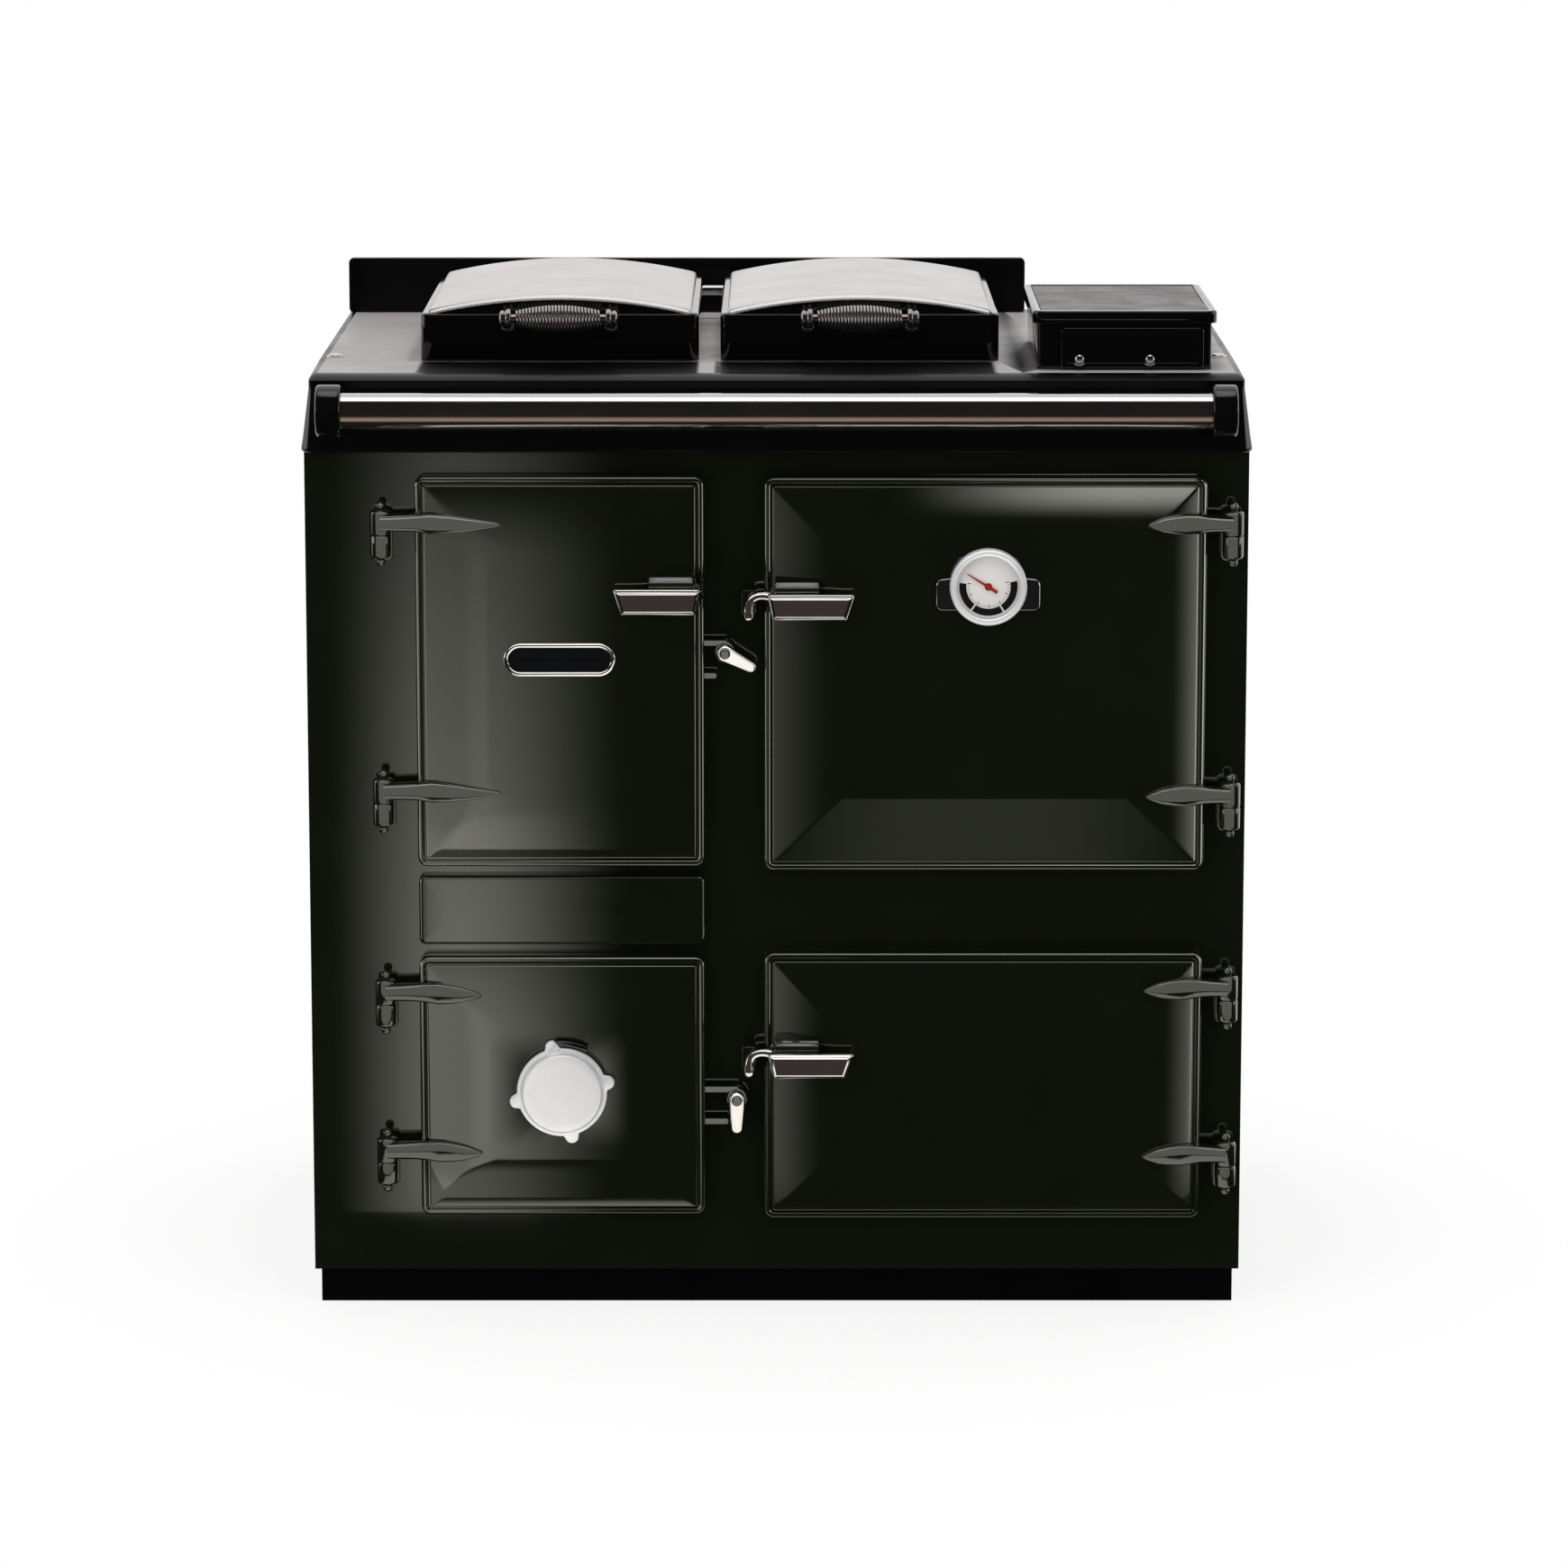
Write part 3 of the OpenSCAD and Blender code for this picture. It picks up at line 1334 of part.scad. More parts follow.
// Wire shelves: two square side bars and a row of cross rods
module shelf(d, h) {
    x = [d[0] + door_lap - oven_step + 2, d[1] - door_lap + oven_step - 2];
    y = [inner_y + 16, inner_y + oven_depth - oven_wall - 4];
    r = shelf_rod / 2;
    z = d[2] + door_lap - oven_step + h;
    step = (y[1] - y[0] - 2 * r) / (shelf_rods - 1);
    for (s = [x[0], x[1] - shelf_rod]) slab([s, s + shelf_rod], y, [z, z + shelf_rod]);
    for (i = [0:shelf_rods - 1]) bar_x([y[0] + r + i * step, z + r], [x[0] + r, x[1] - r], r * 0.8);
}
module oven_shelves() {
    color(chrome) {
        for (h = main_ledges) shelf(MAIN, h);
        for (h = lower_ledges) shelf(LOWER, h);
    }
}

plinth();
front_plate();
side_panels();
back_panel();
top_plate();
hob_surround();
towel_rail();
rail_brackets();
hotplate();
splashback();
flue_box();
flue_cover();
flue_door();
fixing_screws();
flue_spigot();
firebox();
firebricks();
grate();
ash_pan();
main_oven();
oven_shelves();
lower_oven();
middle_panel();
hinge_lugs();
door_catches();
lid_hinges();
door_ropes();
fire_door();
fire_door_straps();
fire_door_liner();
name_plate();
fire_door_handle();
fire_door_latch();
ash_door();
ash_door_straps();
ash_door_liner();
spinwheel_spindle();
ash_door_latch();
spinwheel_washer();
spinwheel();
main_oven_door();
main_oven_straps();
main_oven_liner();
thermometer_case();
thermometer_dial();
thermometer_glass();
thermometer_needle();
main_oven_handle();
lower_oven_door();
lower_oven_straps();
lower_oven_liner();
lower_oven_handle();
left_lid_shell();
left_lid_cover();
left_lid_liner();
left_lid_handle();
right_lid_shell();
right_lid_cover();
right_lid_liner();
right_lid_handle();
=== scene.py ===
"""Cast iron range cooker: the looks of every piece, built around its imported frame.

The frame gives every size and place. Each sub-assembly is a class that reads its nodes' boxes from the
frame, works out its surfaces as numpy arrays in millimetres and hands them to one function that makes the
Blender piece.
X runs to the right, Y to the back, Z up, and the origin is on the floor under the middle of the cooker.
"""

from __future__ import annotations

import json
import logging
import math
import sys
from collections.abc import Iterable, Sequence
from dataclasses import dataclass
from enum import Enum

import bmesh
import bpy
import numpy as np
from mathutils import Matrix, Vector
from numpy.typing import NDArray

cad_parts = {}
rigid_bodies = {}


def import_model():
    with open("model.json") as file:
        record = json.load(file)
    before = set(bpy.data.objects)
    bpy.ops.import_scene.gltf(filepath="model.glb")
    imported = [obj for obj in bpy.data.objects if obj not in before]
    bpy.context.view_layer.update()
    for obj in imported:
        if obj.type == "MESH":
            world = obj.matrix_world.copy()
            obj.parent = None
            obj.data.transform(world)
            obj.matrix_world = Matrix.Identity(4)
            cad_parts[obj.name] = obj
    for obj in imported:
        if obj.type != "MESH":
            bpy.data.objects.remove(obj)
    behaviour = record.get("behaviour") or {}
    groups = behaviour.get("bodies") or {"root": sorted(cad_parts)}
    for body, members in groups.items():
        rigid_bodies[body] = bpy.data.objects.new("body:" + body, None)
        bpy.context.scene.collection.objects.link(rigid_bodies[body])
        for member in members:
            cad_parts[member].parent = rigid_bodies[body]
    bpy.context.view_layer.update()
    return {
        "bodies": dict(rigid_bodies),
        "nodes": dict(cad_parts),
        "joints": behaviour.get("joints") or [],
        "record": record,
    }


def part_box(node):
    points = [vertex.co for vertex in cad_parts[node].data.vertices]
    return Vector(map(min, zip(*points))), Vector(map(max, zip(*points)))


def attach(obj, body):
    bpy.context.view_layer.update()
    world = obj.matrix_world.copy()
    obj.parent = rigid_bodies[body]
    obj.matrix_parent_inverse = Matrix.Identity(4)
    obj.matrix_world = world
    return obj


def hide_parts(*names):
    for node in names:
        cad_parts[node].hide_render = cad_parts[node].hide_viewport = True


LOG = logging.getLogger("range_cooker")
MM = 0.001
WHITE = (1.0, 1.0, 1.0, 1.0)
# Depth just inside the front plate, where the backs of the pieces that stand on it end
PLATE_Y = -299.9
# Shares at which the sides of a broad plate are cut: close to its corners, which so keep their own shading
PLATE_CUTS = (0.012, 0.25, 0.5, 0.75, 0.988)
DECK_CUTS = (0.006, 0.25, 0.5, 0.75, 0.994)

Points = NDArray[np.float64]
Pair = tuple[float, float]
Place = tuple[float, float, float]
Rows = Sequence[Pair]
Cuts = int | tuple[float, ...]
Tree = bpy.types.NodeTree
Node = bpy.types.Node
Socket = bpy.types.NodeSocket
Inputs = dict[str | int, object]
# Setting of a range node whose course starts and ends softly
SOFT = {"interpolation_type": "SMOOTHSTEP"}


# ---------- shapes ----------


def unit(turn: float | Points) -> Points:
    """Unit vectors (..., 2) at angles in radians."""
    return np.stack([np.cos(turn), np.sin(turn)], -1)


def normalised(rows: Points) -> Points:
    """Vectors (n, k), each brought to length 1."""
    return rows / np.linalg.norm(rows, axis=1)[:, None]


def chain(*parts: Points | Sequence[tuple[float, ...]]) -> Points:
    """Joins stretches of a profile into one array."""
    return np.concatenate([np.asarray(part, float) for part in parts])


def circle(radius: float, steps: int) -> Points:
    """Points (steps, 2) round a circle about the origin."""
    return radius * unit(np.arange(steps) * 2 * math.pi / steps)


def arc(centre: Pair, radius: float | Pair, start: float, stop: float, steps: int = 6) -> Points:
    """Points (steps + 1, 2) of a circle's or an upright ellipse's arc between two angles in degrees."""
    return np.array(centre) + np.array(radius) * unit(np.radians(np.linspace(start, stop, steps + 1)))


def rounded_rectangle(x: Pair, y: Pair, radius: float, cuts: Cuts = 1, steps: int = 6) -> Points:
    """Outline of a rectangle with quarter circles at its corners, run anticlockwise from the right side.

    Args:
        x: left and right edge.
        y: lower and upper edge.
        radius: radius of the corners.
        cuts: equal pieces that each straight side is cut into, or the shares of its length to cut it at.
        steps: pieces of each quarter circle.

    Returns:
        Points (4 * (steps + 1 + number of cuts), 2).
    """
    turn = np.linspace(0, math.pi / 2, steps + 1)[None, :] + (np.arange(4) * math.pi / 2)[:, None]
    corner = np.array([[x[1], y[1]], [x[0], y[1]], [x[0], y[0]], [x[1], y[0]]], float)
    inward = np.array([[-1, -1], [1, -1], [1, 1], [-1, 1]], float)
    arcs = (corner + radius * inward)[:, None, :] + radius * unit(turn)
    share = np.arange(1, cuts) / cuts if isinstance(cuts, int) else np.array(cuts)
    ends = arcs[:, -1:, :]
    straight = ends + share[None, :, None] * (np.roll(arcs, -1, axis=0)[:, :1, :] - ends)
    return np.concatenate([arcs, straight], axis=1).reshape(-1, 2)


def inset_polygon(outline: Points, amount: float) -> Points:
    """Draws a convex anticlockwise outline in by amount.

    Each corner moves along its mitre: the sum of its sides' inward normals, over one plus their dot product.

    Args:
        outline: points (n, 2).
        amount: how far every side moves in.

    Returns:
        Points (n, 2).
    """
    side = np.roll(outline, -1, axis=0) - outline
    normal = normalised(np.stack([-side[:, 1], side[:, 0]], -1))
    before = np.roll(normal, 1, axis=0)
    return outline + amount * (normal + before) / (1 + np.sum(normal * before, axis=1))[:, None]


def rounded_corners(corners: Points, radius: float, steps: int = 4) -> Points:
    """Rounds each corner of a convex anticlockwise outline with an arc that touches both of its sides.

    The arc's middle lies in the corner's mitre, one radius from each side.

    Args:
        corners: points (n, 2).
        radius: radius of every arc.
        steps: pieces of each arc.

    Returns:
        Points (n * (steps + 1), 2).
    """
    side = np.roll(corners, -1, axis=0) - corners
    outward = np.degrees(np.arctan2(-side[:, 0], side[:, 1]))
    before = np.roll(outward, 1)
    spread = (outward - before) % 360.0
    middles = inset_polygon(corners, radius)
    return chain(*(arc(m, radius, b, b + s, steps) for m, b, s in zip(middles, before, spread)))


def spline(points: Sequence[tuple[float, ...]], steps: int = 5) -> Points:
    """Smooth curve through points of any width, by Catmull and Rom's cubic with its ends doubled.

    Args:
        points: points of the same width, such as place and radius together.
        steps: pieces between two points.

    Returns:
        Points (steps * (count - 1) + 1, width).
    """
    knots = np.asarray(points, float)
    knots = np.concatenate([2 * knots[:1] - knots[1:2], knots, 2 * knots[-1:] - knots[-2:-1]])
    t = (np.arange(steps) / steps)[None, :, None]
    a, b, c, d = (knots[k : len(knots) - 3 + k, None, :] for k in range(4))
    curve = 0.5 * (2 * b + (c - a) * t + (2 * a - 5 * b + 4 * c - d) * t**2 + (3 * b - a - 3 * c + d) * t**3)
    return np.concatenate([curve.reshape(-1, knots.shape[1]), knots[-2:-1]])


def rounded_edge(start: float, way: float, steps: Rows) -> list[Pair]:
    """Rows of inset and depth for an edge: steps of inset and distance, from start along way 1 or -1."""
    return [(inset, start + way * far) for inset, far in steps]


def both_edges(low: float, high: float, steps: Rows) -> list[Pair]:
    """Rows of inset and depth of a bar or plate with the same edge at both of its faces, from low to high."""
    return rounded_edge(low, 1.0, steps) + rounded_edge(high, -1.0, steps)[::-1]


class Axis(Enum):
    """The axis that a profile or an outline is carried along."""

    X = 0
    Y = 1
    Z = 2

    @property
    def across(self) -> list[int]:
        """Numbers of the two other axes."""
        return [k for k in range(3) if k != self.value]

    def place(self, plane: Points, depth: float | Points) -> Points:
        """Puts flat points into space, square to the axis.

        Args:
            plane: points (..., 2) on the two other axes, in their X, Y, Z order.
            depth: place along the axis, one number or one for each point.

        Returns:
            Points (..., 3).
        """
        out = np.empty(plane.shape[:-1] + (3,))
        out[..., self.across] = plane
        out[..., self.value] = depth
        return out


@dataclass(frozen=True)
class Span:
    """A box in millimetres, as a CAD node fills it."""

    low: Place
    high: Place

    @classmethod
    def of(cls, node: str) -> Span:
        """The box of a node of the frame."""
        return cls(*(tuple(c / MM for c in corner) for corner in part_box(node)))

    def middle(self, axis: Axis) -> float:
        """Middle of the box along an axis."""
        return (self.low[axis.value] + self.high[axis.value]) / 2

    def half(self, axis: Axis) -> float:
        """Half the length of the box along an axis."""
        return (self.high[axis.value] - self.low[axis.value]) / 2

    def ring(self, axis: Axis, inset: float, radius: float, cuts: Cuts = 1, steps: int = 6) -> Points:
        """Round-cornered outline (n, 2) of the box seen along an axis, drawn in by inset."""
        sides = ((self.low[k] + inset, self.high[k] - inset) for k in axis.across)
        return rounded_rectangle(*sides, radius, cuts, steps)


class Shell:
    """Vertices and faces of one mesh, gathered in millimetres from closed surfaces."""

    def __init__(self) -> None:
        """Starts empty."""
        self.points: list[Points] = []
        self.faces: list[list[int]] = []
        self.count = 0

    def rings(self, rings: Points, closed: bool = False) -> Shell:
        """Skins a row of closed rings, and closes its ends or joins the last ring to the first.

        Args:
            rings: points (m, n, 3). Point (i, j) joins (i, j + 1), where j runs round, and (i + 1, j).
            closed: the rings themselves run round, as on a hoop. Otherwise each end gets one flat face.

        Returns:
            The shell itself.
        """
        m, n = rings.shape[:2]
        i = np.arange(m if closed else m - 1)[:, None]
        j = np.arange(n)[None, :]
        up, on = (i + 1) % m, (j + 1) % n
        quads = np.stack([i * n + j, i * n + on, up * n + on, up * n + j], -1).reshape(-1, 4) + self.count
        self.faces += quads.tolist()
        if not closed:
            self.faces.append(list(range(self.count, self.count + n))[::-1])
            self.faces.append(list(range(self.count + (m - 1) * n, self.count + m * n)))
        self.points.append(rings.reshape(-1, 3))
        self.count += m * n
        return self

    def layers(
        self, axis: Axis, layers: Iterable[tuple[Points, float | Points]], closed: bool = False
    ) -> Shell:
        """Skins flat outlines (n, 2), each given with its depth along the axis."""
        return self.rings(np.stack([axis.place(outline, depth) for outline, depth in layers]), closed)

    def moulding(self, axis: Axis, outline: Points, profile: Rows | Points, closed: bool = False) -> Shell:
        """Carries a profile round a convex outline, with mitred corners.

        Args:
            axis: the axis that the outline is square to.
            outline: points (n, 2), anticlockwise.
            profile: rows of inset from the outline and depth along the axis.
            closed: the profile closes on itself, as on a frame. Otherwise its ends are flat faces, each
                with a narrow flat rim that keeps the shading of the face flat.

        Returns:
            The shell itself.
        """
        rows = [tuple(row) for row in profile]
        if not closed:
            first, last = rows[0], rows[-1]
            rows = [(first[0] + 0.5, first[1]), *rows, (last[0] + 0.5, last[1])]
        return self.layers(axis, ((inset_polygon(outline, inset), depth) for inset, depth in rows), closed)

    def strip(self, axis: Axis, outline: Points, depth: Pair) -> Shell:
        """Carries a band along an axis, in quads between the outline's two halves, which run side by side.

        Args:
            axis: the axis that it runs along.
            outline: points (2 * n, 2).
            depth: where it starts and where it ends.

        Returns:
            The shell itself.
        """
        half = len(outline) // 2
        sections = np.stack([outline[:half], outline[::-1][:half]], axis=1)
        rings = np.stack([axis.place(sections, depth[0]), axis.place(sections, depth[1])[:, ::-1]], axis=1)
        return self.rings(rings.reshape(half, 4, 3))

    def lathe(
        self, axis: Axis, centre: Pair, profile: Rows | Points, steps: int = 48, closed: bool = False
    ) -> Shell:
        """Turns rows of radius and depth round an axis that passes centre, which is on the two other axes."""
        around = circle(1.0, steps)
        return self.layers(axis, ((np.array(centre) + max(r, 0.0) * around, d) for r, d in profile), closed)

    def tube(self, path: Points, radii: Points, up: Place, power: float = 2.0) -> Shell:
        """Carries the section |x|^power + |y|^power = 1 along a path.

        Args:
            path: points (m, 3) of its middle line.
            radii: half widths (m, 2): along up, and square to up and to the path.
            up: a direction that the path never takes.
            power: squareness of the section, 2 for an ellipse.

        Returns:
            The shell itself.
        """
        way = normalised(np.gradient(path, axis=0))
        across = normalised(np.cross(way, np.array(up, float)))
        rise = np.cross(across, way)
        section = circle(1.0, 24)
        section = np.sign(section) * np.abs(section) ** (2.0 / power)
        offsets = radii[:, None, :] * section[None, :, :]
        rise, across = rise[:, None, :], across[:, None, :]
        return self.rings(path[:, None, :] + offsets[..., :1] * rise + offsets[..., 1:] * across)


def make_piece(
    name: str, shell: Shell, finish: Finish, node: str, body: str = "root", smooth: float = 50.0
) -> None:
    """Makes one Blender piece of a shell, dressed and riding on its body, with the object at the origin.

    Args:
        name: name of the piece.
        shell: its surfaces in millimetres.
        finish: the finish that covers it.
        node: CAD node that it takes the place of.
        body: CAD body that it moves with.
        smooth: edges flatter than this many degrees are shaded smooth.
    """
    mesh = bpy.data.meshes.new(name)
    mesh.from_pydata((np.concatenate(shell.points) * MM).tolist(), [], shell.faces)
    work = bmesh.new()
    work.from_mesh(mesh)
    bmesh.ops.remove_doubles(work, verts=work.verts, dist=0.004 * MM)
    bmesh.ops.recalc_face_normals(work, faces=work.faces)
    work.to_mesh(mesh)
    work.free()
    mesh.polygons.foreach_set("use_smooth", np.ones(len(mesh.polygons), bool))
    mesh.set_sharp_from_angle(angle=math.radians(smooth))
    piece = bpy.data.objects.new(name, mesh)
    bpy.context.scene.collection.objects.link(piece)
    mesh.materials.append(finish.material())
    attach(piece, body)
    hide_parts(node)
    LOG.info("%s: %d faces, %s, on %s", name, len(mesh.polygons), finish.name, body)


# ---------- finishes ----------


def linear(code: str) -> tuple[float, float, float, float]:
    """Turns an sRGB colour "#RRGGBB" into the linear colour that the shaders take, with an alpha of 1.

    Args:
        code: the colour, with six hexadecimal digits.

    Returns:
        Red, green, blue and alpha.
    """
    shares = [int(code[k : k + 2], 16) / 255 for k in (1, 3, 5)]
    red, green, blue = (c / 12.92 if c <= 0.04045 else ((c + 0.055) / 1.055) ** 2.4 for c in shares)
    return red, green, blue, 1.0


def feed(tree: Tree, node: Node, inputs: Inputs) -> None:
    """Sets a node's inputs by name or number: to a value, or linked to a socket or a node's first output.

    Args:
        tree: the tree that the node is in.
        node: the node to set.
        inputs: what each input takes.
    """
    for key, value in inputs.items():
        source = value.outputs[0] if isinstance(value, Node) else value
        if isinstance(source, Socket):
            tree.links.new(source, node.inputs[key])
        else:
            node.inputs[key].default_value = source


def add_node(tree: Tree, kind: str, inputs: Inputs | None = None, **settings: object) -> Node:
    """Adds one node to a tree.

    Args:
        tree: the tree that takes it.
        kind: Blender's class name of the node, after "ShaderNode".
        inputs: what each input takes, as feed reads it.
        **settings: the node's own settings.

    Returns:
        The new node.
    """
    node = tree.nodes.new("ShaderNode" + kind)
    for name, value in settings.items():
        setattr(node, name, value)
    feed(tree, node, inputs or {})
    return node


def course(value: Node | Socket, limits: Pair, levels: Pair) -> Inputs:
    """Inputs of a range node on which a value that runs between two limits comes out between two levels."""
    names = ("Value", "From Min", "From Max", "To Min", "To Max")
    return dict(zip(names, (value, *limits, *levels)))


@dataclass(frozen=True)
class Finish:
    """A surface finish, made once as a material. Its subclasses add the detail of the real surface.

    Attributes:
        name: common name of the finish, and of its material.
        slot: the record's material slot; not used.
        colour: main colour.
        roughness: roughness in the middle of its drift.
        second: the tone that the main colour drifts to.
    """

    name: str
    slot: str
    colour: str
    roughness: float
    second: str

    def material(self) -> bpy.types.Material:
        """The finish's material, made when it is first asked for.

        Returns:
            The material.
        """
        known = bpy.data.materials.get(self.name)
        if known is not None:
            return known
        made = bpy.data.materials.new(self.name)
        made.use_nodes = True
        made.diffuse_color = linear(self.colour)
        tree = made.node_tree
        self.dress(tree, tree.nodes["Principled BSDF"], add_node(tree, "TexCoord").outputs["Object"])
        return made

    def dress(self, tree: Tree, shader: Node, place: Socket) -> None:
        """Sets the shader and adds the pattern of the finish, from the place on the object in metres."""
        raise NotImplementedError

    def vary(self, tree: Tree, shader: Node, pattern: Node, tones: tuple[str, str], spread: Pair) -> None:
        """Lets colour and roughness drift with a pattern.

        Args:
            tree: the material's nodes.
            shader: its Principled shader.
            pattern: node whose first output lies between 0 and 1, mostly between 0.3 and 0.7.
            tones: colours at a low and at a high pattern.
            spread: shares of the roughness at a low and at a high pattern.
        """
        mix = add_node(tree, "Mix", {0: pattern, 6: linear(tones[0]), 7: linear(tones[1])}, data_type="RGBA")
        levels = tuple(min(1.0, self.roughness * share) for share in spread)
        rough = add_node(tree, "MapRange", course(pattern, (0.3, 0.7), levels))
        feed(tree, shader, {"Base Color": mix.outputs[2], "Roughness": rough})


@dataclass(frozen=True)
class Enamel(Finish):
    """Vitreous enamel fired on cast iron: glassy, with a faint orange peel over the casting's slow waves.

    Attributes:
        coat: weight of the clear glassy coat.
        peel: height of the peel in millimetres, 6 mm across.
        wave: height of the waves in millimetres, 45 mm across.
        gloss: specular level, 0.5 for glass.
    """

    coat: float = 0.0
    peel: float = 0.006
    wave: float = 0.05
    gloss: float = 0.5

    def dress(self, tree: Tree, shader: Node, place: Socket) -> None:
        """Two bumps, the fine one on the slow one, under a tone that drifts over 70 mm.

        Args:
            tree: the material's nodes.
            shader: its Principled shader.
            place: output that gives the place on the object, in metres.
        """
        drift = add_node(tree, "TexNoise", {"Vector": place, "Scale": 14.0, "Detail": 4.0})
        self.vary(tree, shader, drift, (self.colour, self.second), (0.8, 1.25))
        waves = add_node(tree, "TexNoise", {"Vector": place, "Scale": 22.0, "Detail": 1.0})
        peel = add_node(tree, "TexNoise", {"Vector": place, "Scale": 170.0, "Detail": 2.0})
        slow = add_node(tree, "Bump", {"Height": waves, "Distance": self.wave * MM})
        fine = add_node(tree, "Bump", {"Height": peel, "Distance": self.peel * MM, "Normal": slow})
        feed(tree, shader, {"Coat Weight": self.coat, "Coat Roughness": 0.02, "Coat Normal": slow})
        feed(tree, shader, {"Specular IOR Level": self.gloss, "Normal": fine})


@dataclass(frozen=True)
class HobEnamel(Enamel):
    """Satin enamel of a hob's ground top, with a strip of painted shade before the lids, cut by a plain line.

    Attributes:
        painted_lid_shade: colour of the strip: painted shade for the lids' reflection and shadow.
        middle: X of the line between the lids, in metres as the rest.
        line: half the width of the line.
        reach: how far the strip runs to each side of the line.
        lids_front: Y where the strip ends under the lids.
    """

    painted_lid_shade: str = "#050404"
    middle: float = -0.068
    line: float = 0.008
    reach: float = 0.279
    lids_front: float = -0.195

    def dress(self, tree: Tree, shader: Node, place: Socket) -> None:
        """The enamel, mixed to black in the painted shade strip by the distance from its line and the lids'
        front.

        Args:
            tree: the material's nodes.
            shader: its Principled shader.
            place: output that gives the place on the object, in metres.
        """
        super().dress(tree, shader, place)
        tone = shader.inputs["Base Color"].links[0].from_socket
        parts = add_node(tree, "SeparateXYZ", {0: place}).outputs
        shifted = add_node(tree, "Math", {0: parts["X"], 1: self.middle}, operation="SUBTRACT")
        away = add_node(tree, "Math", {0: shifted}, operation="ABSOLUTE")
        rim = (self.line - 0.002, self.line + 0.002)
        strip = add_node(tree, "MapRange", course(away, rim, (0.0, 1.0)), **SOFT)
        edges = ((away, self.reach, 0.003), (parts["Y"], self.lids_front, 0.005))
        for value, edge, soft in edges:
            step = add_node(tree, "MapRange", course(value, (edge - soft, edge + soft), (1.0, 0.0)), **SOFT)
            strip = add_node(tree, "Math", {0: strip, 1: step}, operation="MULTIPLY")
        # Painted shade: the lids' dark reflection and shadow on the hob, left out at the gap between the lids
        mix = add_node(tree, "Mix", {0: strip, 6: tone, 7: linear(self.painted_lid_shade)}, data_type="RGBA")
        feed(tree, shader, {"Base Color": mix.outputs[2]})


@dataclass(frozen=True)
class Metal(Finish):
    """Bare or plated metal, with the fine scratches of its polishing drawn out along one direction.

    Attributes:
        grain: scratches in a metre along X, Y and Z.
        depth: depth of the scratches in millimetres.
        metallic: share of the bare metal in the surface.
    """

    grain: Place = (30.0, 30.0, 30.0)
    depth: float = 0.0006
    metallic: float = 1.0

    def dress(self, tree: Tree, shader: Node, place: Socket) -> None:
        """A stretched noise for the polishing marks, and a broad one for handled patches 60 mm across.

        Args:
            tree: the material's nodes.
            shader: its Principled shader.
            place: output that gives the place on the object, in metres.
        """
        stretched = add_node(tree, "Mapping", {"Vector": place, "Scale": self.grain})
        marks = add_node(tree, "TexNoise", {"Vector": stretched, "Scale": 1.0, "Detail": 5.0})
        patches = add_node(tree, "TexNoise", {"Vector": place, "Scale": 16.0, "Detail": 3.0})
        both = add_node(tree, "Mix", {0: 0.5, 2: marks, 3: patches}, data_type="FLOAT")
        self.vary(tree, shader, both, (self.second, self.colour), (1.35, 0.75))
        bump = add_node(tree, "Bump", {"Height": marks, "Distance": self.depth * MM})
        feed(tree, shader, {"Metallic": self.metallic, "Normal": bump})


@dataclass(frozen=True)
class Casting(Finish):
    """Rough surface such as sand-cast iron, firebrick or rope: grains and pits under a broad change of tone.

    Attributes:
        grains: grains in a metre.
        depth: height of the grains in millimetres.
        metallic: share of the bare metal in the surface.
    """

    grains: float = 420.0
    depth: float = 0.25
    metallic: float = 0.0

    def dress(self, tree: Tree, shader: Node, place: Socket) -> None:
        """Cells for the grains and noise for the pits, raised together, with the tone in blotches of 40 mm.

        Args:
            tree: the material's nodes.
            shader: its Principled shader.
            place: output that gives the place on the object, in metres.
        """
        blotches = add_node(tree, "TexNoise", {"Vector": place, "Scale": 24.0, "Detail": 6.0})
        self.vary(tree, shader, blotches, (self.colour, self.second), (0.9, 1.15))
        grains = add_node(tree, "TexVoronoi", {"Vector": place, "Scale": self.grains})
        pits = add_node(tree, "TexNoise", {"Vector": place, "Scale": self.grains * 0.4, "Detail": 5.0})
        height = add_node(tree, "Mix", {0: 0.45, 2: pits, 3: grains}, data_type="FLOAT")
        bump = add_node(tree, "Bump", {"Height": height, "Distance": self.depth * MM})
        feed(tree, shader, {"Metallic": self.metallic, "Normal": bump})


@dataclass(frozen=True)
class Glass(Finish):
    """Thin flat window glass with a faint unevenness, which lets light through to what lies behind it.

    Attributes:
        alpha: how much it covers what lies behind it.
    """

    alpha: float = 0.08

    def dress(self, tree: Tree, shader: Node, place: Socket) -> None:
        """A thin clear sheet that mirrors a little, with the glass's slow unevenness of 17 mm.

        Args:
            tree: the material's nodes.
            shader: its Principled shader.
            place: output that gives the place on the object, in metres.
        """
        waves = add_node(tree, "TexNoise", {"Vector": place, "Scale": 60.0, "Detail": 1.0})
        bump = add_node(tree, "Bump", {"Height": waves, "Distance": 0.01 * MM})
        feed(tree, shader, {"Base Color": linear(self.colour), "Roughness": self.roughness})
        feed(tree, shader, {"Alpha": self.alpha, "Normal": bump})


# Dark green enamel, fired on the front, doors and sides: a glassy near-black that turns green in light
GREEN = Enamel("Green vitreous enamel", "green_enamel", "#0C0F06", 0.09, "#101409", coat=1.0)
# Black enamel, fired on the lids' shells, the hob's surround and the flue: a dark mirror
BLACK = Enamel("Black vitreous enamel", "black_enamel", "#050505", 0.05, "#080808", peel=0.004, wave=0.02)
# Black enamel of the plinth, the splashback and the hob's rolled edge, worn: it hardly reflects
DULL = Enamel(
    "Dulled black enamel", "black_enamel", "#040404", 0.3, "#060606", peel=0.01, wave=0.0, gloss=0.14
)
